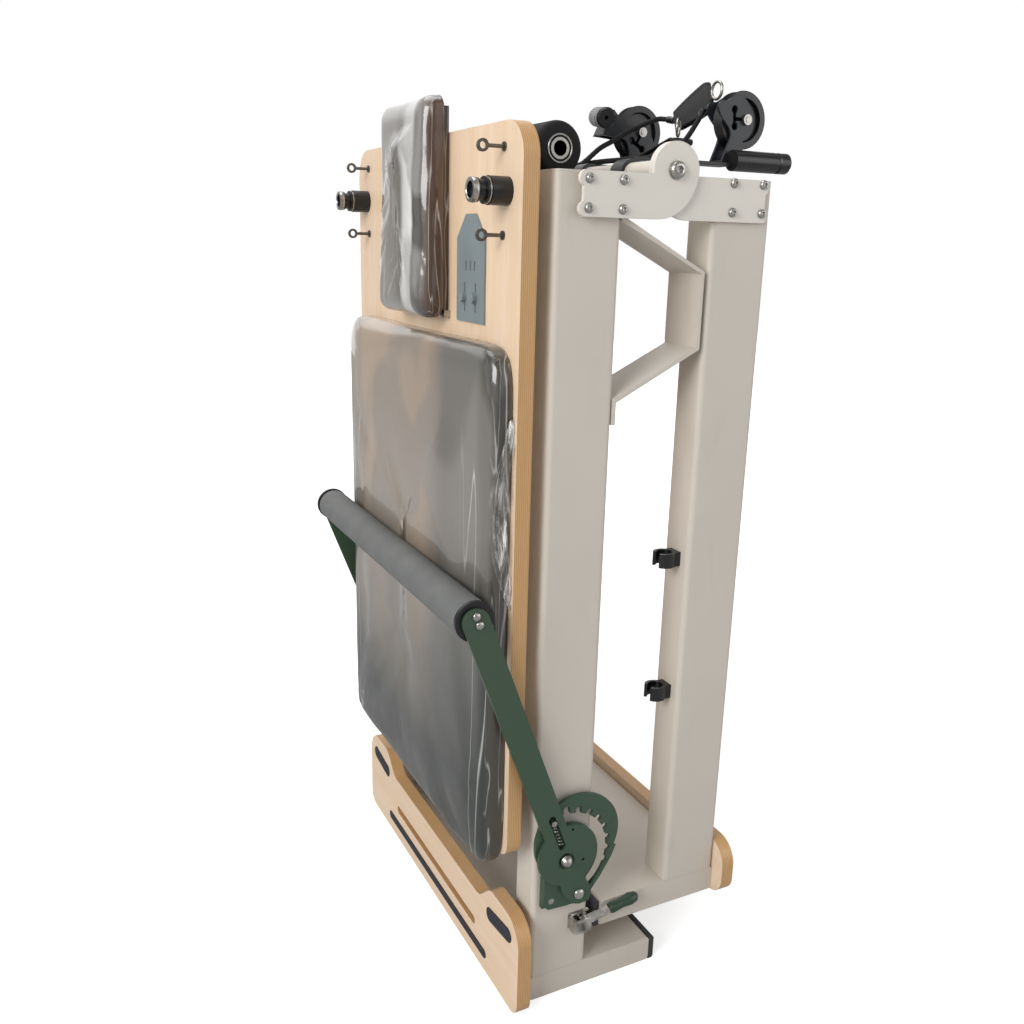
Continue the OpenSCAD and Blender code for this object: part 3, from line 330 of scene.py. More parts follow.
def steel(s: Shader, tone: str, dark: str, rough: float = 0.30, cloudy: float = 0.25,
          scratch: float = 0.08) -> None:
    """Zinc-plated steel with brushed variation and tiny scratches."""
    cloud = s.span(s.noise(50.0, 3.0), 0.35, 0.7)
    lines = s.span(s.noise(900.0, 2.0, (1.0, 0.08, 1.0)), 0.45, 0.7)
    s.surface({
        "Base Color": s.blend(cloud * cloudy, tone, dark),
        "Metallic": 1.0,
        "Roughness": s.worn(cloud * 0.5 + lines * 0.5, rough),
        "Normal": s.bump(lines, scratch, 0.0003, s.edges(0.0004)),
    })


def rubber(s: Shader, colour: str, dust: str, rough: float = 0.72) -> None:
    """Matt rubber or soft plastic with a fine grain."""
    speck = s.span(s.noise(900.0, 3.0), 0.45, 0.75)
    haze = s.span(s.noise(24.0, 4.0), 0.45, 0.75)
    s.surface({
        "Base Color": s.blend(haze * 0.35 + speck * 0.2, colour, dust),
        "Roughness": s.worn(haze, rough),
        "Normal": s.bump(speck, 0.25, 0.0005, s.edges(0.0008)),
    })


def cell_foam(s: Shader, colour: str, light: str, cells: float = 650.0, rough: float = 0.7) -> None:
    """Closed-cell foam: fine open pores on a soft skin."""
    pores = s.cells(cells)
    mottle = s.span(pores, 0.1, 0.7) * 0.35 + s.span(s.noise(28.0, 4.0), 0.35, 0.7) * 0.35
    s.surface({
        "Base Color": s.blend(mottle, colour, light),
        "Roughness": rough,
        "Specular IOR Level": 0.3,
        "Normal": s.bump(pores + s.noise(60.0, 3.0) * 0.5, 0.3, 0.0006),
    })


def moulding(s: Shader, colour: str, light: str, rough: float = 0.3) -> None:
    """Satin injection moulding with a spark-eroded texture."""
    flow = s.span(s.noise(18.0, 3.0), 0.35, 0.7)
    s.surface({
        "Base Color": s.blend(flow * 0.4, colour, light),
        "Roughness": s.worn(flow, rough),
        "Normal": s.bump(s.noise(1300.0, 2.0), 0.16, 0.0003, s.edges(0.0006)),
    })


def track_metal(s: Shader) -> None:
    """Satin extruded aluminium with draw lines along its length."""
    lines = s.span(s.noise(500.0, 3.0, (1.0, 1.0, 0.01)), 0.35, 0.7)
    s.surface({
        "Base Color": s.blend(lines * 0.5, "c9ccd0", "94979b"),
        "Metallic": 0.9,
        "Roughness": s.span(lines, 0.0, 1.0, 0.34, 0.5),
        "Normal": s.bump(lines, 0.1, 0.0003, s.edges(0.0006)),
    })


def grip_tape(s: Shader) -> None:
    """Non-slip strip: hard grit in a dark resin."""
    glint = s.span(s.noise(1500.0, 1.0), 0.62, 0.75)
    s.surface({
        "Base Color": s.blend(glint * 0.5, "24252e", "6d6f7a"),
        "Roughness": s.span(glint, 0.0, 1.0, 0.85, 0.45),
        "Normal": s.bump(s.cells(1100.0), 0.7, 0.0006),
    })


def webbing(s: Shader) -> None:
    """Woven nylon webbing, ribbed along its length."""
    ribs = 700.0
    weave = s.weave(s.coordinate("UV", "X") * ribs, s.coordinate("UV", "Y") * ribs)
    fuzz = s.span(s.noise(700.0, 3.0), 0.35, 0.7)
    s.surface({
        "Base Color": s.blend(weave * 0.45 + fuzz * 0.25, "0a0a0b", "1e1e20"),
        "Roughness": 0.8,
        "Specular IOR Level": 0.25,
        "Normal": s.bump(weave + fuzz * 0.3, 0.5, 0.0005),
    })


def braid(s: Shader) -> None:
    """Braided cord: two sets of strands that cross, drawn on the piece's own unwrapping."""
    round_it, along = s.coordinate("UV", "X") * 8, s.coordinate("UV", "Y") * 250
    strands = s.weave(round_it + along, round_it - along)
    hairs = s.span(s.noise(1600.0, 2.0), 0.35, 0.7)
    s.surface({
        "Base Color": s.blend(strands * 0.6 + hairs * 0.2, "09090a", "242427"),
        "Roughness": 0.7,
        "Specular IOR Level": 0.3,
        "Normal": s.bump(strands + hairs * 0.25, 0.6, 0.0007),
    })


@dataclass(frozen=True)
class Finish:
    """A finish, made once and shared by the pieces that have it."""

    name: str
    recipe: Callable[..., None]
    values: Tuple[object, ...] = ()

    def material(self) -> bpy.types.Material:
        """The finish's material, made the first time it is asked for."""
        found = bpy.data.materials.get(self.name)
        if found is None:
            shader = Shader(self.name)
            self.recipe(shader, *self.values)
            found = shader.material
        return found


FRAME_PAINT = Finish("frame_warm_grey", powder_coat, ("cbc3b8", 0.42, 0.10, "b7aea2"))
# The frame's own paint made lighter for the hinge plates: painted light, as the top of the frame is lit more
# brightly
LIT_FRAME_PAINT = Finish("frame_warm_grey_painted_lit", powder_coat, ("dbd6cd", 0.40, 0.10, "c6c0b6", 0.2))
GREEN_PAINT = Finish("foot_bar_green", powder_coat, ("304a37", 0.38, 0.12, "414c38", 0.3))
CHARCOAL = Finish("rack_charcoal", powder_coat, ("17181b", 0.4, 0.12, "292b2e"))
FORK_BLACK = Finish("fork_black", powder_coat, ("1b1e23", 0.34, 0.08, "2b2e34", 0.2))
UPRIGHT_PLY = Finish("ply_upright", plywood, ((1.0, 1.0, 0.045),))
ACROSS_PLY = Finish("ply_across", plywood, ((1.0, 0.045, 1.0),))
# Both covers: their own colours with painted reflections, painted highlights and painted shade
MAIN_COVER_AND_REFLECTIONS = Finish("main_pad_cover_painted_reflections", pad_cover, (Tones(
    ((0.0, "2c2b26"), (0.035, "34332e"), (0.06, "62605a"), (0.25, "645f58"), (0.36, "988674"),
     (0.85, "aa9682"), (1.0, "857b70")),
    "7f7972", "1f2623", "3d3a34", 0.311, 0.35, 0.80, 0.26),))
HEAD_COVER_AND_REFLECTIONS = Finish("headrest_cover_painted_reflections", pad_cover, (Tones(
    ((0.0, "33302c"), (0.16, "3b3936"), (0.20, "e0dfdd"), (0.34, "cbcac7"), (0.41, "66625d"), (0.6, "7d7974"),
     (1.0, "8f8a84")),
    "918e8a", "6a6661", "47301f", 0.099, 0.95, 1.1, 0.085), 0.7, 0.4, 0.12))
FILM = Finish("clear_film_painted_highlights", clear_film_painted_highlights)
BRIGHT_STEEL = Finish("plated_steel", steel, ("adaba6", "6f6d69"))
POLISHED_STEEL = Finish("polished_steel", steel, ("d3d0ca", "33312e", 0.18, 0.85, 0.02))
DARK_STEEL = Finish("dark_steel", steel, ("6e6b66", "3f3d3a", 0.34))
BAR_STEEL = Finish("tube_steel", steel, ("a7a8a8", "77787a", 0.34))
BLACK_RUBBER = Finish("black_rubber", rubber, ("101011", "262628"))
GRIP = Finish("grip_strip", grip_tape)
ROLL_FOAM = Finish("roll_foam", cell_foam, ("060607", "101012"))
SLEEVE_FOAM = Finish("bar_sleeve_foam", cell_foam, ("5d5f5e", "737472", 900.0, 0.6))
BLACK_MOULDING = Finish("black_moulding", moulding, ("0b0b0d", "18181b"))
GREY_MOULDING = Finish("grey_plate", moulding, ("737d80", "879093", 0.4))
WHEEL_MOULDING = Finish("wheel_moulding", moulding, ("1d1e20", "303134", 0.45))
GREEN_GRIP = Finish("lever_grip", moulding, ("1d3625", "2c4a35", 0.35))
TRACK = Finish("track_metal", track_metal)
WEBBING = Finish("webbing", webbing)
ROPE = Finish("braided_rope", braid)
THREAD = Finish("grey_thread", rubber, ("3c3c40", "56565a", 0.7))

# The solids that are shown as they are, by their finish
SOLID_FINISHES: Dict[Finish, Tuple[str, ...]] = {
    FRAME_PAINT: ("left_rails", "left_rail_caps", "foot_leg", "spring_bar", "mid_legs", "hinge_cross_tube",
                  "right_rails", "right_rail_caps", "head_leg"),
    LIT_FRAME_PAINT: ("hinge_plates_left", "hinge_plates_right"),
    BLACK_RUBBER: ("foot_leg_rubber", "head_leg_rubber", "platform_spacers", "carriage_stops"),
    GRIP: ("platform_grips",),
    TRACK: ("left_tracks", "right_tracks"),
    ACROSS_PLY: ("standing_platform", "head_board"),
    UPRIGHT_PLY: ("carriage_board",),
    HEAD_COVER_AND_REFLECTIONS: ("headrest_base",),
    DARK_STEEL: ("rope_hooks",),
    BRIGHT_STEEL: ("foam_roll_tube", "pulley_axles", "rope_hardware", "headrest_pin", "carriage_springs",
                   "wheel_brackets", "hinge_hardware", "hinge_screws_right", "gear_screws",
                   "footbar_hardware"),
    POLISHED_STEEL: ("release_bracket", "release_lever"),
    BAR_STEEL: ("footbar_tube",),
    GREEN_PAINT: ("gear_plates", "footbar_arms"),
    GREEN_GRIP: ("release_grip",),
    CHARCOAL: ("stowage_rack",),
    FORK_BLACK: ("pulley_forks",),
    BLACK_MOULDING: ("pulley_stubs", "pulley_wheel_near", "pulley_wheel_far", "stow_clips", "shoulder_posts",
                     "footbar_caps"),
    GREY_MOULDING: ("rope_plate",),
    WHEEL_MOULDING: ("wheel_near_foot", "wheel_near_head", "wheel_far_foot", "wheel_far_head"),
    ROLL_FOAM: ("foam_roll",),
    SLEEVE_FOAM: ("footbar_pad",),
}


# Mesh writing


def angles(count: int) -> List[float]:
    """Evenly spaced angles round a circle."""
    return [2 * math.pi * k / count for k in range(count)]


def bent(value: float, power: float) -> float:
    """A power that keeps the value's sign."""
    return math.copysign(abs(value) ** power, value)


def put(name: str, data: bpy.types.ID) -> bpy.types.Object:
    """Makes an object of its data and links it to the scene."""
    made = bpy.data.objects.new(name, data)
    bpy.context.scene.collection.objects.link(made)
    return made


class Mould:
    """Collects vertices and faces, and turns them into one piece."""

    def __init__(self) -> None:
        """Starts empty."""
        self.points: List[Vector] = []
        self.faces: List[Tuple[int, ...]] = []
        self.uvs: Dict[int, Tuple[float, float]] = {}

    def grid(self, rows: Sequence[Sequence[Vector]], closed: bool = True, capped: bool = True,
             uv: Optional[Callable[[int, int], Tuple[float, float]]] = None) -> None:
        """Adds a skin over rows of points.

        Args:
            rows: Rows of equal length.
            closed: Whether each row is a ring.
            capped: Whether the first and last ring are filled.
            uv: The unwrapped place of point j of row i.
        """
        start, width = len(self.points), len(rows[0])
        for i, row in enumerate(rows):
            for j, point in enumerate(row):
                if uv is not None:
                    self.uvs[len(self.points)] = uv(i, j)
                self.points.append(Vector(point))
        for i in range(len(rows) - 1):
            for j in range(width if closed else width - 1):
                a, b = start + i * width + j, start + i * width + (j + 1) % width
                self.faces.append((a, b, b + width, a + width))
        if closed and capped:
            self.faces.append(tuple(start + j for j in reversed(range(width))))
            self.faces.append(tuple(start + (len(rows) - 1) * width + j for j in range(width)))

    def turned(self, profile: Sequence[Tuple[float, float]], at: Vector, axis: Vector,
               sides: int = 40) -> None:
        """Adds a turned form: (radius, distance along the axis) pairs swept round an axis."""
        along = axis.normalized()
        across = along.orthogonal().normalized()
        up = along.cross(across)
        rows = [[at + along * reach + (across * math.cos(t) + up * math.sin(t)) * max(radius, 1e-6)
                 for t in angles(sides)] for radius, reach in profile]
        self.grid(rows, uv=lambda i, j: (j / sides * 0.05, profile[i][1]))

    def swept(self, path: Sequence[Vector], radius: Callable[[int, float], float], sides: int,
              ring: bool = False) -> None:
        """Adds a tube along a path.

        Args:
            path: The points that it follows.
            radius: Radius at point i and angle t.
            sides: Points round the tube.
            ring: Whether the path closes on itself.
        """
        count = len(path)
        normal = Vector((0.1, 0.2, 1.0))
        rows, lengths, reach = [], [], 0.0
        for i, point in enumerate(path):
            before = path[(i - 1) % count] if ring or i > 0 else point
            after = path[(i + 1) % count] if ring or i < count - 1 else point
            ahead = (after - before).normalized()
            normal = (normal - ahead * normal.dot(ahead)).normalized()
            side = ahead.cross(normal)
            rows.append([point + (normal * math.cos(t) + side * math.sin(t)) * radius(i, t)
                         for t in angles(sides)])
            reach += (point - path[i - 1]).length if i else 0.0
            lengths.append(reach)
        if ring:
            rows.append(list(rows[0]))
            lengths.append(reach + (path[0] - path[-1]).length)
        self.grid(rows, capped=not ring, uv=lambda i, j: (j / sides, lengths[i]))

    def piece(self, name: str, finish: Finish, body: str, slot: str,
              smooth: float = 40.0) -> bpy.types.Object:
        """Makes the object, dresses it and has it ride on its body.

        Args:
            name: Name of the piece.
            finish: Its finish.
            body: The body it moves with.
            slot: The record's material slot. Not used.
            smooth: Edges sharper than this many degrees stay sharp.

        Returns:
            The object.
        """
        mesh = bpy.data.meshes.new(name)
        mesh.from_pydata([tuple(p) for p in self.points], [], self.faces)
        mesh.update()
        if self.uvs:
            layer = mesh.uv_layers.new(name="unwrapped")
            places = [self.uvs.get(loop.vertex_index, (0.0, 0.0)) for loop in mesh.loops]
            layer.data.foreach_set("uv", np.array(places, np.float32).ravel())
        work = bmesh.new()
        work.from_mesh(mesh)
        bmesh.ops.recalc_face_normals(work, faces=work.faces)
        for face in work.faces:
            face.smooth = True
        for edge in work.edges:
            edge.smooth = len(edge.link_faces) < 2 or edge.calc_face_angle(0.0) < math.radians(smooth)
        work.to_mesh(mesh)
        work.free()
        made = put(name, mesh)
        mesh.materials.append(finish.material())
        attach(made, body)
        LOG.info("%s: %d faces", name, len(mesh.polygons))
        return made


def curve_through(points: Sequence[Vector], steps: int) -> List[Vector]:
    """A smooth curve through points, with so many steps between neighbours."""
    made = []
    last = len(points) - 1
    for i in range(last):
        a, b, c, d = points[max(i - 1, 0)], points[i], points[i + 1], points[min(i + 2, last)]
        for k in range(steps):
            t = k / steps
            made.append(0.5 * (2 * b + (c - a) * t + (2 * a - 5 * b + 4 * c - d) * t * t
                               + (3 * b - a - 3 * c + d) * t ** 3))
    return made + [points[last].copy()]


def evenly(points: Sequence[Vector], step: float) -> List[Vector]:
    """The same path with points a given step apart."""
    spots = np.array([tuple(p) for p in points])
    reach = np.concatenate([[0.0], np.cumsum(np.linalg.norm(np.diff(spots, axis=0), axis=1))])
    wanted = np.linspace(0.0, reach[-1], max(2, round(reach[-1] / step)) + 1)
    return [Vector([np.interp(w, reach, spots[:, k]) for k in range(3)]) for w in wanted]


def run_length(points: Sequence[Vector]) -> float:
    """Length of a path."""
    return sum((b - a).length for a, b in zip(points, points[1:]))


# The setting


@dataclass
class Studio:
    """Camera, lamps, floor and background."""

    eye: Point = (-0.77754, -1.44225, 1.16063)
    azimuth: float = -26.93
    elevation: float = 15.49
    roll: float = 0.0235577
    lens: float = 34.30
    sensor: float = 36.0
    aim: Point = (0.0, 0.0, 0.75)
    lamps: Tuple[Tuple[str, Point, float, float], ...] = (
        ("key_lamp", (-4.2, -1.9, 2.6), 2.4, 170.0), ("fill_lamp", (2.8, -2.6, 1.8), 2.6, 24.0),
        ("top_lamp", (-0.4, 0.6, 3.6), 2.0, 38.0))
    even_light: float = 0.52
    floor_half: float = 9.0
    floor_grey: Colour = (0.6, 0.6, 0.6, 1.0)

    def build(self) -> None:
        """Makes the camera first, then the lamps, the world and the floor."""
        self.camera()
        for name, at, size, power in self.lamps:
            self.lamp(name, at, size, power)
        self.world()
        self.floor()
        bpy.context.scene.view_settings.view_transform = "Standard"

    def camera(self) -> None:
        """Sets the camera as the picture was taken."""
        azimuth, elevation = math.radians(self.azimuth), math.radians(self.elevation)
        back = Vector((math.sin(azimuth) * math.cos(elevation), -math.cos(azimuth) * math.cos(elevation),
                       math.sin(elevation)))
        right = (-back).cross(Vector((0, 0, 1))).normalized()
        up = right.cross(-back)
        c, s = math.cos(self.roll), math.sin(self.roll)
        right, up = c * right + s * up, c * up - s * right
        lens = bpy.data.cameras.new("picture_camera")
        lens.lens, lens.sensor_width = self.lens, self.sensor
        made = put("picture_camera", lens)
        made.matrix_world = Matrix((
            (right.x, up.x, back.x, self.eye[0]), (right.y, up.y, back.y, self.eye[1]),
            (right.z, up.z, back.z, self.eye[2]), (0, 0, 0, 1)))
        bpy.context.scene.camera = made

    def lamp(self, name: str, at: Point, size: float, power: float) -> None:
        """Adds a soft square lamp, in metres and watts, that looks at the object's middle."""
        light = bpy.data.lights.new(name, "AREA")
        light.shape, light.size, light.energy = "SQUARE", size, power
        made = put(name, light)
        made.location = at
        made.rotation_mode = "QUATERNION"
        made.rotation_quaternion = (Vector(self.aim) - Vector(at)).to_track_quat("-Z", "Y")

    def world(self) -> None:
        """A white background, an even soft light, and broad panels that only shine back from pieces."""
        world = bpy.data.worlds.new("studio_world")
        s = Shader("studio_world", world)
        around = s.node("ShaderNodeTexCoord", out="Generated")
        cloud = s.node("ShaderNodeTexNoise", {}, {"Vector": around, "Scale": 1.7, "Detail": 1.0})
        panels = s.span(cloud, 0.44, 0.56, 0.28, 1.1)
        seen, shone = (s.node("ShaderNodeLightPath", out=f"Is {ray} Ray") for ray in ("Camera", "Glossy"))
        power = self.even_light + seen * (1 - self.even_light) + shone * (panels - self.even_light)
        s.show(s.node("ShaderNodeBackground", {}, {"Color": (1, 1, 1, 1), "Strength": power}))
        bpy.context.scene.world = world

    def floor(self) -> None:
        """A pale floor that keeps the object's shadow and runs out into the white background."""
        half = self.floor_half
        mesh = bpy.data.meshes.new("studio_floor")
        corners = [(-half, -half, 0), (half, -half, 0), (half, half, 0), (-half, half, 0)]
        mesh.from_pydata(corners, [], [(0, 1, 2, 3)])
        made = put("studio_floor", mesh)
        s = Shader("studio_floor")
        matt = s.node("ShaderNodeBsdfDiffuse", {}, {"Color": self.floor_grey, "Roughness": 0.5})
        own = s.node("ShaderNodeTexCoord", out="Object")
        away = s.node("ShaderNodeVectorMath", {"operation": "LENGTH"}, {0: own}, out="Value")
        power = s.node("ShaderNodeLightPath", out="Is Camera Ray") * s.span(away, 1.0, 4.0, 0.66, 1.0)
        glow = s.node("ShaderNodeEmission", {}, {"Color": (1, 1, 1, 1), "Strength": power})
        s.show(s.node("ShaderNodeAddShader", {}, {0: matt, 1: glow}))
        mesh.materials.append(s.material)


# Ropes


@dataclass
class Ropes:
    """The two ropes: from the hand loops over the hinge tube, down to their hanks."""

    diameter: float = 8.0
    loops: int = 5
    pitch: float = 8.8
    tall: float = 52.0
    wide: float = 24.0
    waist: float = 12.0
    hank_x: float = 60.0
    hank_z: float = 1092.0
    # Shares of a loop that one run takes, and half a loop
    run: float = 0.3
    half_loop: float = 0.5
    # How far the last loop is short of a whole one, and steps in a loop
    short: float = 0.2
    steps: int = 24
    band: float = 1.4
    # A sleeve's outline: shares of the rope's radius, and metres along it
    sleeve: Pairs = (
        (0.9, -0.0012), (1.25, -0.0004), (1.38, 0.002), (1.2, 0.004), (1.38, 0.006), (1.2, 0.008),
        (1.36, 0.010), (1.1, 0.0125))
    near_route: Tuple[Point, ...] = (
        (325.7, -173, 1356), (315.5, -171, 1336), (297, -165, 1308), (275, -151, 1292), (250, -128, 1286),
        (226, -98, 1284), (202, -74, 1281), (173.5, -63, 1275.3), (140, -56, 1267), (104, -42, 1246),
        (74, -24, 1214), (60, -16, 1180))
    far_route: Tuple[Point, ...] = (
        (338, -81, 1350), (331.5, -66, 1353), (320, -55, 1352), (274, -55, 1333), (248, -61, 1320),
        (234, -65, 1313), (209, -72, 1301), (173.5, -75.4, 1275.3), (140, -74, 1267), (104, -70, 1246),
        (74, -67, 1214), (60, -66, 1180))

    def hank_point(self, turn: float, side: float) -> Vector:
        """A point of a hank's loops, drawn in at the waist, turn loops along it."""
        part = turn - math.floor(turn + 0.0001)
        way = 1.0 if part < self.half_loop else -1.0
        part %= self.half_loop
        if part < self.run:
            half = self.wide - self.waist * math.sin(math.pi * part / self.run) ** 2
            return way * Vector((0, side * half, self.tall * (1 - 2 * part / self.run)))
        t = math.pi * (part - self.run) / (self.half_loop - self.run)
        return way * Vector((0, side * self.wide * math.cos(t), -self.tall - self.wide * math.sin(t)))

    def hank(self, y: float, side: float) -> List[Vector]:
        """A hank's own path, in millimetres."""
        at = Vector((self.hank_x, y, self.hank_z))
        end = self.loops - self.short
        path = [at + Vector((0, side * self.wide, self.tall + self.diameter))]
        for i in range(round(end * self.steps) + 1):
            turn = min(i / self.steps, end)
            path.append(at + self.hank_point(turn, side) + Vector((self.pitch * turn, 0, 0)))
        return path + [at + Vector((self.pitch * end, -side * self.wide, self.tall + self.diameter))]

    def tie(self, y: float) -> Mould:
        """Two bands round a hank's waist."""
        bands = Mould()
        half_x = self.pitch * (self.loops - self.short) / 2
        middle = Vector((self.hank_x + half_x, y, self.hank_z))
        half_x += self.diameter / 2 + 1.5
        half_y = self.wide - self.waist + self.diameter / 2 + 1.5
        around = [(half_x * bent(math.cos(t), 0.45), half_y * bent(math.sin(t), 0.45)) for t in angles(48)]
        for lift in (-6.0, 6.0):
            loop = [drawn(*(middle + Vector((dx, dy, lift)))) for dx, dy in around]
            bands.swept(loop, lambda i, t: self.band / 1000, 8, ring=True)
        return bands

    def lay(self, name: str, route: Sequence[Point], y: float, side: float,
            stands_for: Sequence[str]) -> None:
        hank = self.hank(y, side)
        points = curve_through([Vector(p) for p in route] + [hank[0]], 8)[:-1] + hank
        path = evenly([drawn(*p) for p in points], 0.0022)
        radius = self.diameter / 2000
        mould = Mould()
        mould.swept(path, lambda i, t: radius * (0.965 + 0.035 * math.cos(8 * t) * math.cos(i * 1.6)), 16)
        rope = mould.piece(name, ROPE, "foot_half", "rope", 80)
        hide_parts(*stands_for)
        fittings = Mould()
        for end, ahead in ((path[0], path[4] - path[0]), (path[-1], path[-5] - path[-1])):
            fittings.turned([(radius * share, reach) for share, reach in self.sleeve], end, ahead, 24)
        sleeve = fittings.piece(name + "_sleeves", BLACK_MOULDING, "foot_half", "black_plastic")
        tie = self.tie(y).piece(name + "_tie", WEBBING, "foot_half", "webbing")

    def build(self) -> None:
        """Lays both ropes."""
        self.lay("rope_one", self.near_route, 8, -1, ("rope_near", "rope_hanks"))
        self.lay("rope_two", self.far_route, -90, 1, ("rope_far",))


# Soft pieces


@dataclass(frozen=True)
class Band:
    """One closed padded band: its middle, its length, its thickness with both layers, and how it lies."""

    at: Point
    length: float
    thick: float
    lean: float
    roll: float = 0.0
    # Share of its width that it loses towards its +y end
    taper: float = 0.0
    width: float = 42.0

    def turn(self) -> Matrix:
        """From the band's own millimetres to the frame: x is its thickness, y its length and z its width."""
        return (Matrix.Translation(drawn(*self.at)) @ Matrix.Rotation(-math.radians(self.lean), 4, "X")
                @ Matrix.Rotation(math.radians(self.roll), 4, "Y") @ Matrix.Scale(0.001, 4))

    def half_width(self, y: float) -> float:
        """Half the band's width at a place along it."""
        share = min(1.0, max(0.0, 0.5 + y / self.length))
        return self.width / 2 * (1 - self.taper * share * share)

    def spine(self, skin: float, steps: int = 32) -> List[Tuple[float, float, float, float]]:
        """The middle line of the band's skin: down one side and round the end, then the same mirrored.

        Args:
            skin: Thickness of the skin.
            steps: Points on each half.

        Returns:
            x, y and the outward direction's x and y at each point.
        """
        half, reach = (self.thick - skin) / 2, (self.length - self.thick) / 2
        run = 0.75
        made = []
        for way in (1.0, -1.0):
            for t in (k / steps for k in range(steps)):
                spot = (half, reach * (1 - 2 * t / run), 1.0, 0.0)
                if t >= run:
                    a = math.pi * (t - run) / (1 - run)
                    spot = (half * math.cos(a), -reach - half * math.sin(a), math.cos(a), -math.sin(a))
                made.append(tuple(way * value for value in spot))
        return made


@dataclass
class HandLoops:
    """Two padded webbing loops with their stitching, and the near loop's ring tab."""

    near: Band = Band((338.0, -130.23, 1362.0), 90.0, 16.0, 20.0, taper=0.34)
    far: Band = Band((316.0, -81.378, 1300.714), 118.0, 11.0, 14.0, roll=-90.0)
    thick_skin: float = 4.4
    thin_skin: float = 3.4
    hem: float = 5.0
    stitch: float = 4.0

    def strap(self, mould: Mould, band: Band) -> None:
        """Adds a padded band with a pressed seam along both its hems."""
        skin = self.thick_skin if band.thick > 12 else self.thin_skin
        turn, spine, rows = band.turn(), band.spine(skin), []
        for k, (x, y, out_x, out_y) in enumerate(spine + spine[:1]):
            puff = min(1.0 + 0.06 * math.sin(k * 1.1) + 0.04 * math.sin(k * 2.7), 1.0)
            half = band.half_width(y)
            ring = []
            for a in angles(28):
                across = bent(math.cos(a), 0.35) * (half - 0.2)
                seam = 1.0 - 0.45 * math.exp(-((abs(across) - half + self.hem) / 1.3) ** 2)
                over = bent(math.sin(a), 0.6) * skin / 2 * seam * puff
                ring.append(turn @ Vector((x + out_x * over, y + out_y * over, across)))
            rows.append(ring)
        mould.grid(rows, capped=False, uv=lambda i, j: (j * 0.004, i * 0.004))

    def tab(self, mould: Mould, band: Band, half: float = 8.0, bend: float = 2.6) -> None:
        """Adds the narrow strap that holds a ring at the band's -y end, doubled back on itself."""
        turn, rows = band.turn(), []
        from_y, reach = 3 - band.length / 2, -6.4
        for t in (k / 16 for k in range(17)):
            y = from_y + reach * math.sin(math.pi * (t if t < 0.5 else 1 - t))
            x = bend * math.cos(math.pi * t)
            rows.append([turn @ Vector((x + dx, y, dz)) for dx, dz in
                         ((-0.7, -half), (-0.7, half), (0.7, half), (0.7, -half))])
        mould.grid(rows, uv=lambda i, j: (j * 0.01, i * 0.002))

    def stitches(self, mould: Mould, band: Band) -> None:
        """Adds two rows of raised thread along the band's outer faces."""
        turn, run = band.turn(), band.length - band.thick
        for edge in (-1.0, 1.0):
            for k in range(int(run / self.stitch)):
                y = -run / 2 + self.stitch * k + 0.7
                z = edge * (band.half_width(y) - self.hem)
                for face in (-1.0, 1.0):
                    high = band.thick / 2 - 1.0
                    path = [turn @ Vector((face * (high + 0.42 * math.sin(math.pi * t)), y + 2.6 * t, z))
                            for t in (0.0, 0.25, 0.5, 0.75, 1.0)]
                    mould.swept(path, lambda i, t: 0.00038, 6)

    def build(self) -> None:
        """Makes both loops in place of the plain ones."""
        body, thread = Mould(), Mould()
        for band in (self.near, self.far):
            self.strap(body, band)
            self.stitches(thread, band)
        self.tab(body, self.near)
        loops = body.piece("hand_loops_padded", WEBBING, "foot_half", "webbing", 80)
        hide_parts("hand_loops")
        thread.piece("hand_loop_stitches", THREAD, "foot_half", "webbing")


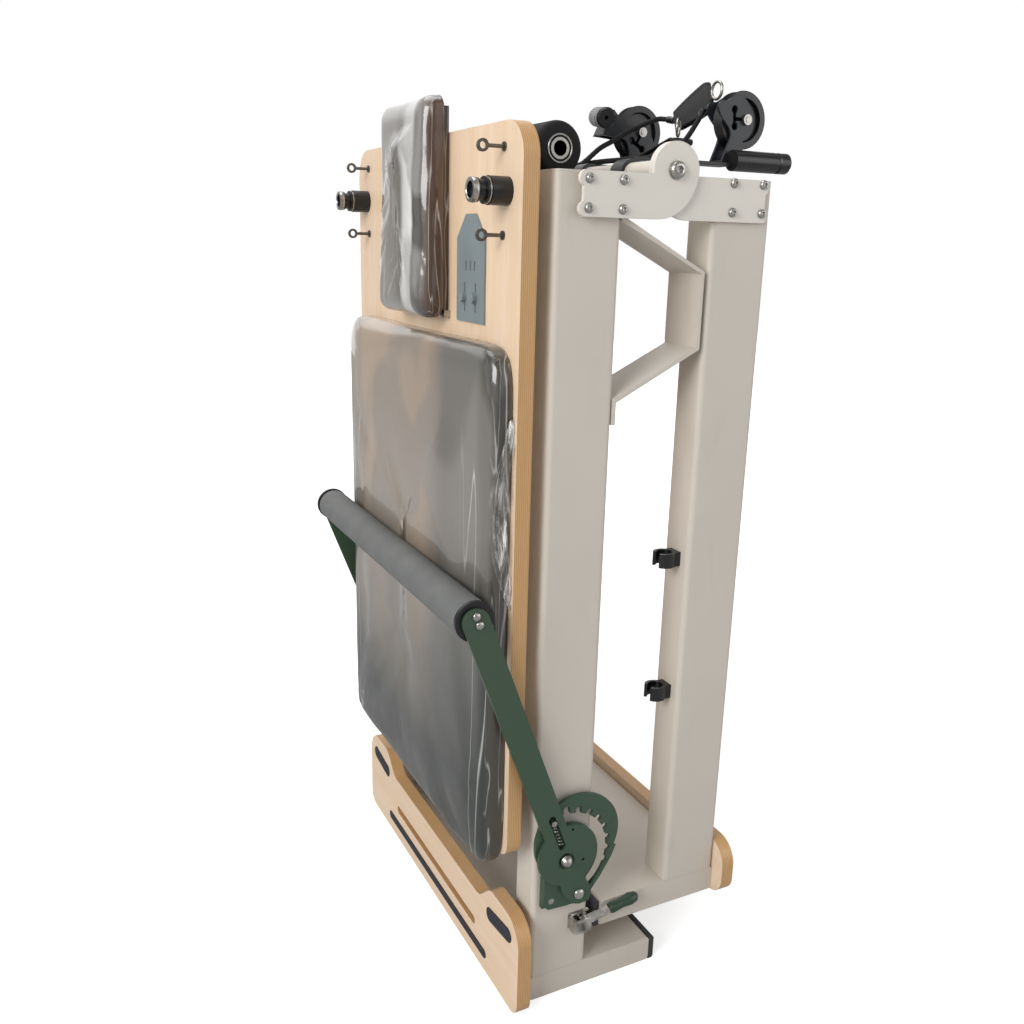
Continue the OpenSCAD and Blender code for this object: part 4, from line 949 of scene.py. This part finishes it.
@dataclass
class Cushion:
    """One upholstered pad: a crowned closed form with drawn-in sides, a seam line and pressed creases."""

    name: str
    node: str
    body: str
    finish: Finish
    low: float
    high: float
    width: float
    back: float
    thick: float
    corner: float
    draw: float
    crown: float
    cap: float
    fill: float
    shoulder: float
    square: float
    columns: int = 74
    seed: float = 0.0
    # Power of the outline's superellipse; square is that of the edge in section
    outline_power: float = 14.0
    frames: int = 16
    pressure: float = 4.0
    stretch_stiffness: float = 24.0
    shear_stiffness: float = 10.0
    bend_stiffness: float = 1.2
    # Height of the seam up the side, as a share of the thickness, and its depth in millimetres
    seam_at: float = 0.34
    seam_deep: float = 1.1

    def outline(self, inset: float, count: int) -> List[Tuple[float, float]]:
        """The rounded outline, with sides that pull in between its corners."""
        w, h = self.width / 2 - inset, (self.high - self.low) / 2 - inset
        r = max(self.corner - inset * 0.5, 6.0)
        made = []
        for t in angles(count):
            c, s = math.cos(t), math.sin(t)
            power = self.outline_power
            grow = (abs(c) ** power + abs(s) ** power) ** (-1 / power)
            y, z = c * grow * w, s * grow * h
            over_y, over_z = abs(y) - (w - r), abs(z) - (h - r)
            if over_y > 0 and over_z > 0:
                far = math.hypot(over_y, over_z)
                if far > r:
                    y = math.copysign(w - r + over_y * r / far, y)
                    z = math.copysign(h - r + over_z * r / far, z)
            pull_y = self.draw * max(0.0, 1 - (z / h) ** 2) if abs(y) > w - r else 0.0
            pull_z = self.draw * max(0.0, 1 - (y / w) ** 2) if abs(z) > h - r else 0.0
            made.append((y - math.copysign(pull_y, y) * min(1, max(0, over_y / r)),
                         z - math.copysign(pull_z, z) * min(1, max(0, over_z / r))))
        return made

    def build(self) -> bpy.types.Object:
        """Makes the pad, swells it and presses in its seam and creases."""
        middle = (self.low + self.high) / 2
        # Each step: inset from the outline, and rise as a share of the thickness
        steps = [(5.0, 0.0), (1.6, 0.03), (0.3, 0.10), (0.0, 0.20)]
        power = 2 / self.square
        steps += [(self.shoulder * (1 - math.cos(math.pi * k / 24) ** power),
                   0.20 + 0.75 * math.sin(math.pi * k / 24) ** power) for k in range(1, 12)]
        steps.append((self.shoulder, 0.95))
        inside = min(self.width, self.high - self.low) / 2 - self.shoulder - 1.0
        steps += [(self.shoulder + inside * k / 14, 0.95 + 0.05 * math.sin(math.pi * k / 28))
                  for k in range(1, 15)]
        mould = Mould()
        mould.grid([[drawn(self.back - self.thick * rise, y, middle + z)
                     for y, z in self.outline(inset, 4 * self.columns)] for inset, rise in steps])
        made = mould.piece(self.name, self.finish, self.body, "pad_cover", 180)
        self.swell(made)
        self.press(made)
        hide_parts(self.node)
        return made

    def swell(self, made: bpy.types.Object) -> None:
        """Blows the cover up against its own stiffness and keeps a capped share of the movement."""
        work = made.copy()
        work.data = made.data.copy()
        work.parent = None
        bpy.context.scene.collection.objects.link(work)
        bpy.context.view_layer.objects.active = work
        cloth = work.modifiers.new("cover", "CLOTH")
        settings = cloth.settings
        settings.quality = 5
        settings.mass = 0.4
        settings.tension_stiffness = settings.compression_stiffness = self.stretch_stiffness
        settings.shear_stiffness = self.shear_stiffness
        settings.bending_stiffness = self.bend_stiffness
        settings.use_pressure = True
        settings.uniform_pressure_force = self.pressure
        settings.effector_weights.gravity = 0.0
        cloth.collision_settings.use_collision = False
        cloth.collision_settings.use_self_collision = False
        scene = bpy.context.scene
        scene.frame_start, scene.frame_end = 1, 20
        for step in range(1, self.frames + 1):
            scene.frame_set(step)
        graph = bpy.context.evaluated_depsgraph_get()
        mesh = work.evaluated_get(graph).to_mesh()
        blown = np.zeros(len(mesh.vertices) * 3, np.float32)
        mesh.vertices.foreach_get("co", blown)
        work.evaluated_get(graph).to_mesh_clear()
        scene.frame_set(1)
        bpy.data.objects.remove(work)
        rest = np.zeros(len(made.data.vertices) * 3, np.float32)
        made.data.vertices.foreach_get("co", rest)
        blown, rest = blown.reshape(-1, 3), rest.reshape(-1, 3)
        move = blown - rest
        size = np.linalg.norm(move, axis=1, keepdims=True)
        limit = self.cap / 1000
        move *= limit * np.tanh(size / limit) / np.maximum(size, 1e-9)
        # The cover is held along the board and comes free within 8 mm of it
        move *= np.clip((self.back / 1000 - MIDDLE_X / 1000 - rest[:, :1]) / 0.008, 0.0, 1.0)
        made.data.vertices.foreach_set("co", (rest + move).astype(np.float32).ravel())
        made.data.update()

    def press(self, made: bpy.types.Object) -> None:
        """Presses shallow creases and the seam round the side into the cover."""
        half = Vector((0, self.width / 2, (self.high - self.low) / 2)) / 1000
        middle = (self.low + self.high) / 2000
        normals = [v.normal.copy() for v in made.data.vertices]
        for vertex, normal in zip(made.data.vertices, normals):
            p = vertex.co
            rise = (self.back - MIDDLE_X) / 1000 - p.x
            share = rise / (self.thick / 1000)
            edge = min(half.y - abs(p.y), half.z - abs(p.z - middle)) * 1000
            near_edge = math.exp(-max(edge, 0.0) / 26.0)
            pull = noise.noise(Vector((p.y * 26 + self.seed, p.z * 26, p.x * 30))) * 0.9 * near_edge
            fold = 1 - abs(noise.noise(Vector((p.y * 9 + self.seed, p.z * 5, 3.1))) * 2)
            crease = max(0.0, fold) ** 10 * (0.35 + 0.9 * near_edge)
            seam = self.seam_deep * math.exp(-((share - self.seam_at) / 0.035) ** 2) if edge < 3.5 else 0.0
            fixed = min(1.0, max(0.0, share / 0.08))
            crown = self.crown * max(0.0, 1 - (p.y / half.y) ** 2)
            crown *= max(0.0, 1 - ((p.z - middle) / half.z) ** 2)
            step = (pull * 0.5 - crease * 0.45 - seam) * fixed / 1000
            if share > 0.9:
                vertex.co.x -= crown / 1000
            vertex.co += normal * step
        made.data.update()


@dataclass
class PadFilm:
    """The clear film's gathered end: a crumpled strip down the pad's near side, with its knot."""

    path: Tuple[Point, ...] = (
        (-51, -311.0, 935), (-55, -313.5, 905), (-61, -314.5, 880), (-68, -314.5, 850), (-70, -314.5, 815),
        (-70, -314.5, 775), (-64, -314.5, 735), (-56, -314.0, 700), (-50, -313.0, 676), (-38, -313.5, 655))
    wide: float = 13.0
    columns: int = 32

    def build(self) -> None:
        """Makes the crumpled strip and its knot, and works out the strip's length and mean width."""
        spine = evenly([drawn(*p) for p in curve_through([Vector(p) for p in self.path], 8)], 0.0035)
        mould, rows = Mould(), []
        for i, point in enumerate(spine):
            share = i / (len(spine) - 1)
            wide = self.wide * (0.25 + 0.75 * math.sin(math.pi * min(share * 1.1, 1.0)) ** 0.6) / 1000
            row = []
            for j in range(self.columns + 1):
                across = (j / self.columns - 0.5) * 2
                wave = noise.noise(Vector((i * 0.05, across * 3.0, 5.0)))
                fine = noise.noise(Vector((i * 0.13, across * 8.0, 9.0)))
                lift = 0.0030 * abs(wave) + 0.0018 * abs(fine)
                out = lift + 0.0004 * (1 - across * across)
                row.append(point + Vector((across * wide + 0.0012 * wave, -out,
                                           across * wide * 0.25 + 0.002 * fine)))
            rows.append(row)
        mould.grid(rows, closed=False)
        strip = mould.piece("film_gather", FILM, "carriage", "pad_cover", 180)
        knot, end = Mould(), spine[-1]
        knot.swept([end + Vector((0.004 * math.cos(t), 0.0015 * math.sin(2 * t), 0.005 * math.sin(t)))
                    for t in angles(24)], lambda i, t: 0.0022 + 0.0004 * math.sin(3 * t), 10, ring=True)
        tie = knot.piece("film_knot", FILM, "carriage", "pad_cover", 180)
        length = run_length(spine)
        wide = sum(f.area for f in strip.data.polygons) / length


# Fine fittings


@dataclass
class Screws:
    """Button heads with hexagon sockets in place of the plain domes, and their washers."""

    half: float = 317.0
    # How far the faces of the outer and the inner plates stand out from the rails' sides
    outer: float = 12.3
    inner: float = 6.0
    pivot_x: float = 173.5
    pivot_z: float = 1256.0
    left: Pairs = ((-132, -16), (-81, -16), (-132, -52), (-81, -52))
    right: Pairs = ((101, -12), (152, -12), (101, -50), (152, -50))
    # Radius, height and socket radius in metres of a plate screw and of a hinge pin's head
    small: Point = (0.0062, 0.0046, 0.0030)
    large: Point = (0.0118, 0.0078, 0.0050)
    # Shares of the radius and of the height, up the dome and down the socket
    dome_steps: Pairs = (
        (1.12, 0.0), (1.12, 0.10), (1.0, 0.12), (1.0, 0.30), (0.96, 0.50), (0.88, 0.70), (0.74, 0.88),
        (0.60, 0.97))
    socket_steps: Pairs = ((1.06, 1.0), (1.0, 0.96), (1.0, 0.45), (0.3, 0.36))
    # A hinge pin's outline: radius, and distance from its head's seat, in metres
    pin: Pairs = ((0.008, -0.060), (0.008, 0.0))

    def head(self, mould: Mould, at: Vector, out: Vector, size: Point) -> None:
        """Adds one button head with its socket, its seat's middle at a point and facing a way."""
        radius, high, socket = size
        across = out.orthogonal().normalized()
        up = out.cross(across)

        def ring(wide: float, reach: float, hexagon: bool = True) -> List[Vector]:
            """A ring of points, six-sided or round."""
            made = []
            for t in angles(36):
                flat = wide
                if hexagon:
                    flat = wide / math.cos((t + math.pi / 6) % (math.pi / 3) - math.pi / 6) * 0.9
                made.append(at + out * reach + (across * math.cos(t) + up * math.sin(t)) * flat)
            return made

        rows = [ring(radius * s, high * h, False) for s, h in self.dome_steps]
        rows += [ring(socket * s, high * h) for s, h in self.socket_steps]
        mould.grid(rows)

    def build(self) -> None:
        """Makes the heads of both hinges' plate screws and pins."""
        pins, heads = Mould(), Mould()
        for side in (-1.0, 1.0):
            out = Vector((0, side, 0))
            for mould, spots, stand in ((pins, self.left, self.outer), (heads, self.right, self.inner)):
                for x, z in spots:
                    at = drawn(self.pivot_x + x, side * (self.half + stand), self.pivot_z + z)
                    self.head(mould, at, out, self.small)
            at = drawn(self.pivot_x, side * (self.half + self.outer), self.pivot_z)
            self.head(pins, at, out, self.large)
            pins.turned(self.pin, at, out, 32)
        made = pins.piece("hinge_pins_and_screws", BRIGHT_STEEL, "foot_half", "steel", 32)
        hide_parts("hinge_hardware")
        made = heads.piece("head_half_screws", BRIGHT_STEEL, "head_half", "steel", 32)
        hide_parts("hinge_screws_right")


@dataclass
class PostRings:
    """Bright rings in the grooves of the shoulder posts, on their noses and round the foam roll's tube."""

    y: float = 277.0
    z: float = 1222.0
    board_front: float = -48.0
    roll_end: Point = (54.0, -227.0, 1282.7)
    # Outlines: radius, and distance from the board or from the roll's end, in metres
    nose: Pairs = (
        (0.0136, 0.0455), (0.0150, 0.0455), (0.0158, 0.0470), (0.0158, 0.0500), (0.0150, 0.0525),
        (0.0112, 0.0530), (0.0104, 0.0520), (0.0104, 0.0475), (0.0120, 0.0462))
    groove: Pairs = ((0.0158, 0.0283), (0.0168, 0.0288), (0.0168, 0.0306), (0.0158, 0.0309))
    collar: Pairs = (
        (0.0168, -0.0006), (0.0168, 0.0004), (0.0174, 0.0009), (0.0184, 0.0009), (0.0190, 0.0004),
        (0.0190, -0.0006))

    def build(self) -> None:
        """Makes the rings of both posts and the roll's."""
        posts, roll = Mould(), Mould()
        for side in (-1.0, 1.0):
            for profile in (self.nose, self.groove):
                posts.turned(profile, drawn(self.board_front, side * self.y, self.z), Vector((-1, 0, 0)))
        posts.piece("shoulder_post_rings", BRIGHT_STEEL, "carriage", "steel", 30)
        roll.turned(self.collar, drawn(*self.roll_end), Vector((0, -1, 0)), 48)
        roll.piece("roll_end_ring", BRIGHT_STEEL, "foot_half", "steel", 30)


def finish_solids() -> None:
    """Puts each finish into its solids' own material slots."""
    for finish, names in SOLID_FINISHES.items():
        for name in names:
            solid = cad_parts[name]
            if not solid.material_slots:
                solid.data.materials.append(finish.material())
            for slot in solid.material_slots:
                slot.material = finish.material()
        LOG.info("%s: %s", finish.name, ", ".join(names))


def main() -> None:
    """Builds everything in order and reports it."""
    logging.basicConfig(level=logging.INFO, format="%(message)s")
    Studio().build()
    Ropes().build()
    HandLoops().build()
    finish_solids()
    Cushion("main_pad", "carriage_pad", "carriage", MAIN_COVER_AND_REFLECTIONS, low=243, high=1032, width=622, back=-48,
            thick=38.0, corner=38, draw=3, crown=0.8, cap=3.0, fill=0.85, shoulder=44.0, square=3.2).build()
    Cushion("headrest_pad", "headrest", "headrest_body", HEAD_COVER_AND_REFLECTIONS, low=1047, high=1360, width=198,
            back=-58.3, thick=40.0, corner=26, draw=3, crown=2.0, cap=4.0, fill=0.8, shoulder=36.0,
            square=2.6, columns=44, seed=7.0).build()
    PadFilm().build()
    Screws().build()
    PostRings().build()


if __name__ == "__main__":
    main()
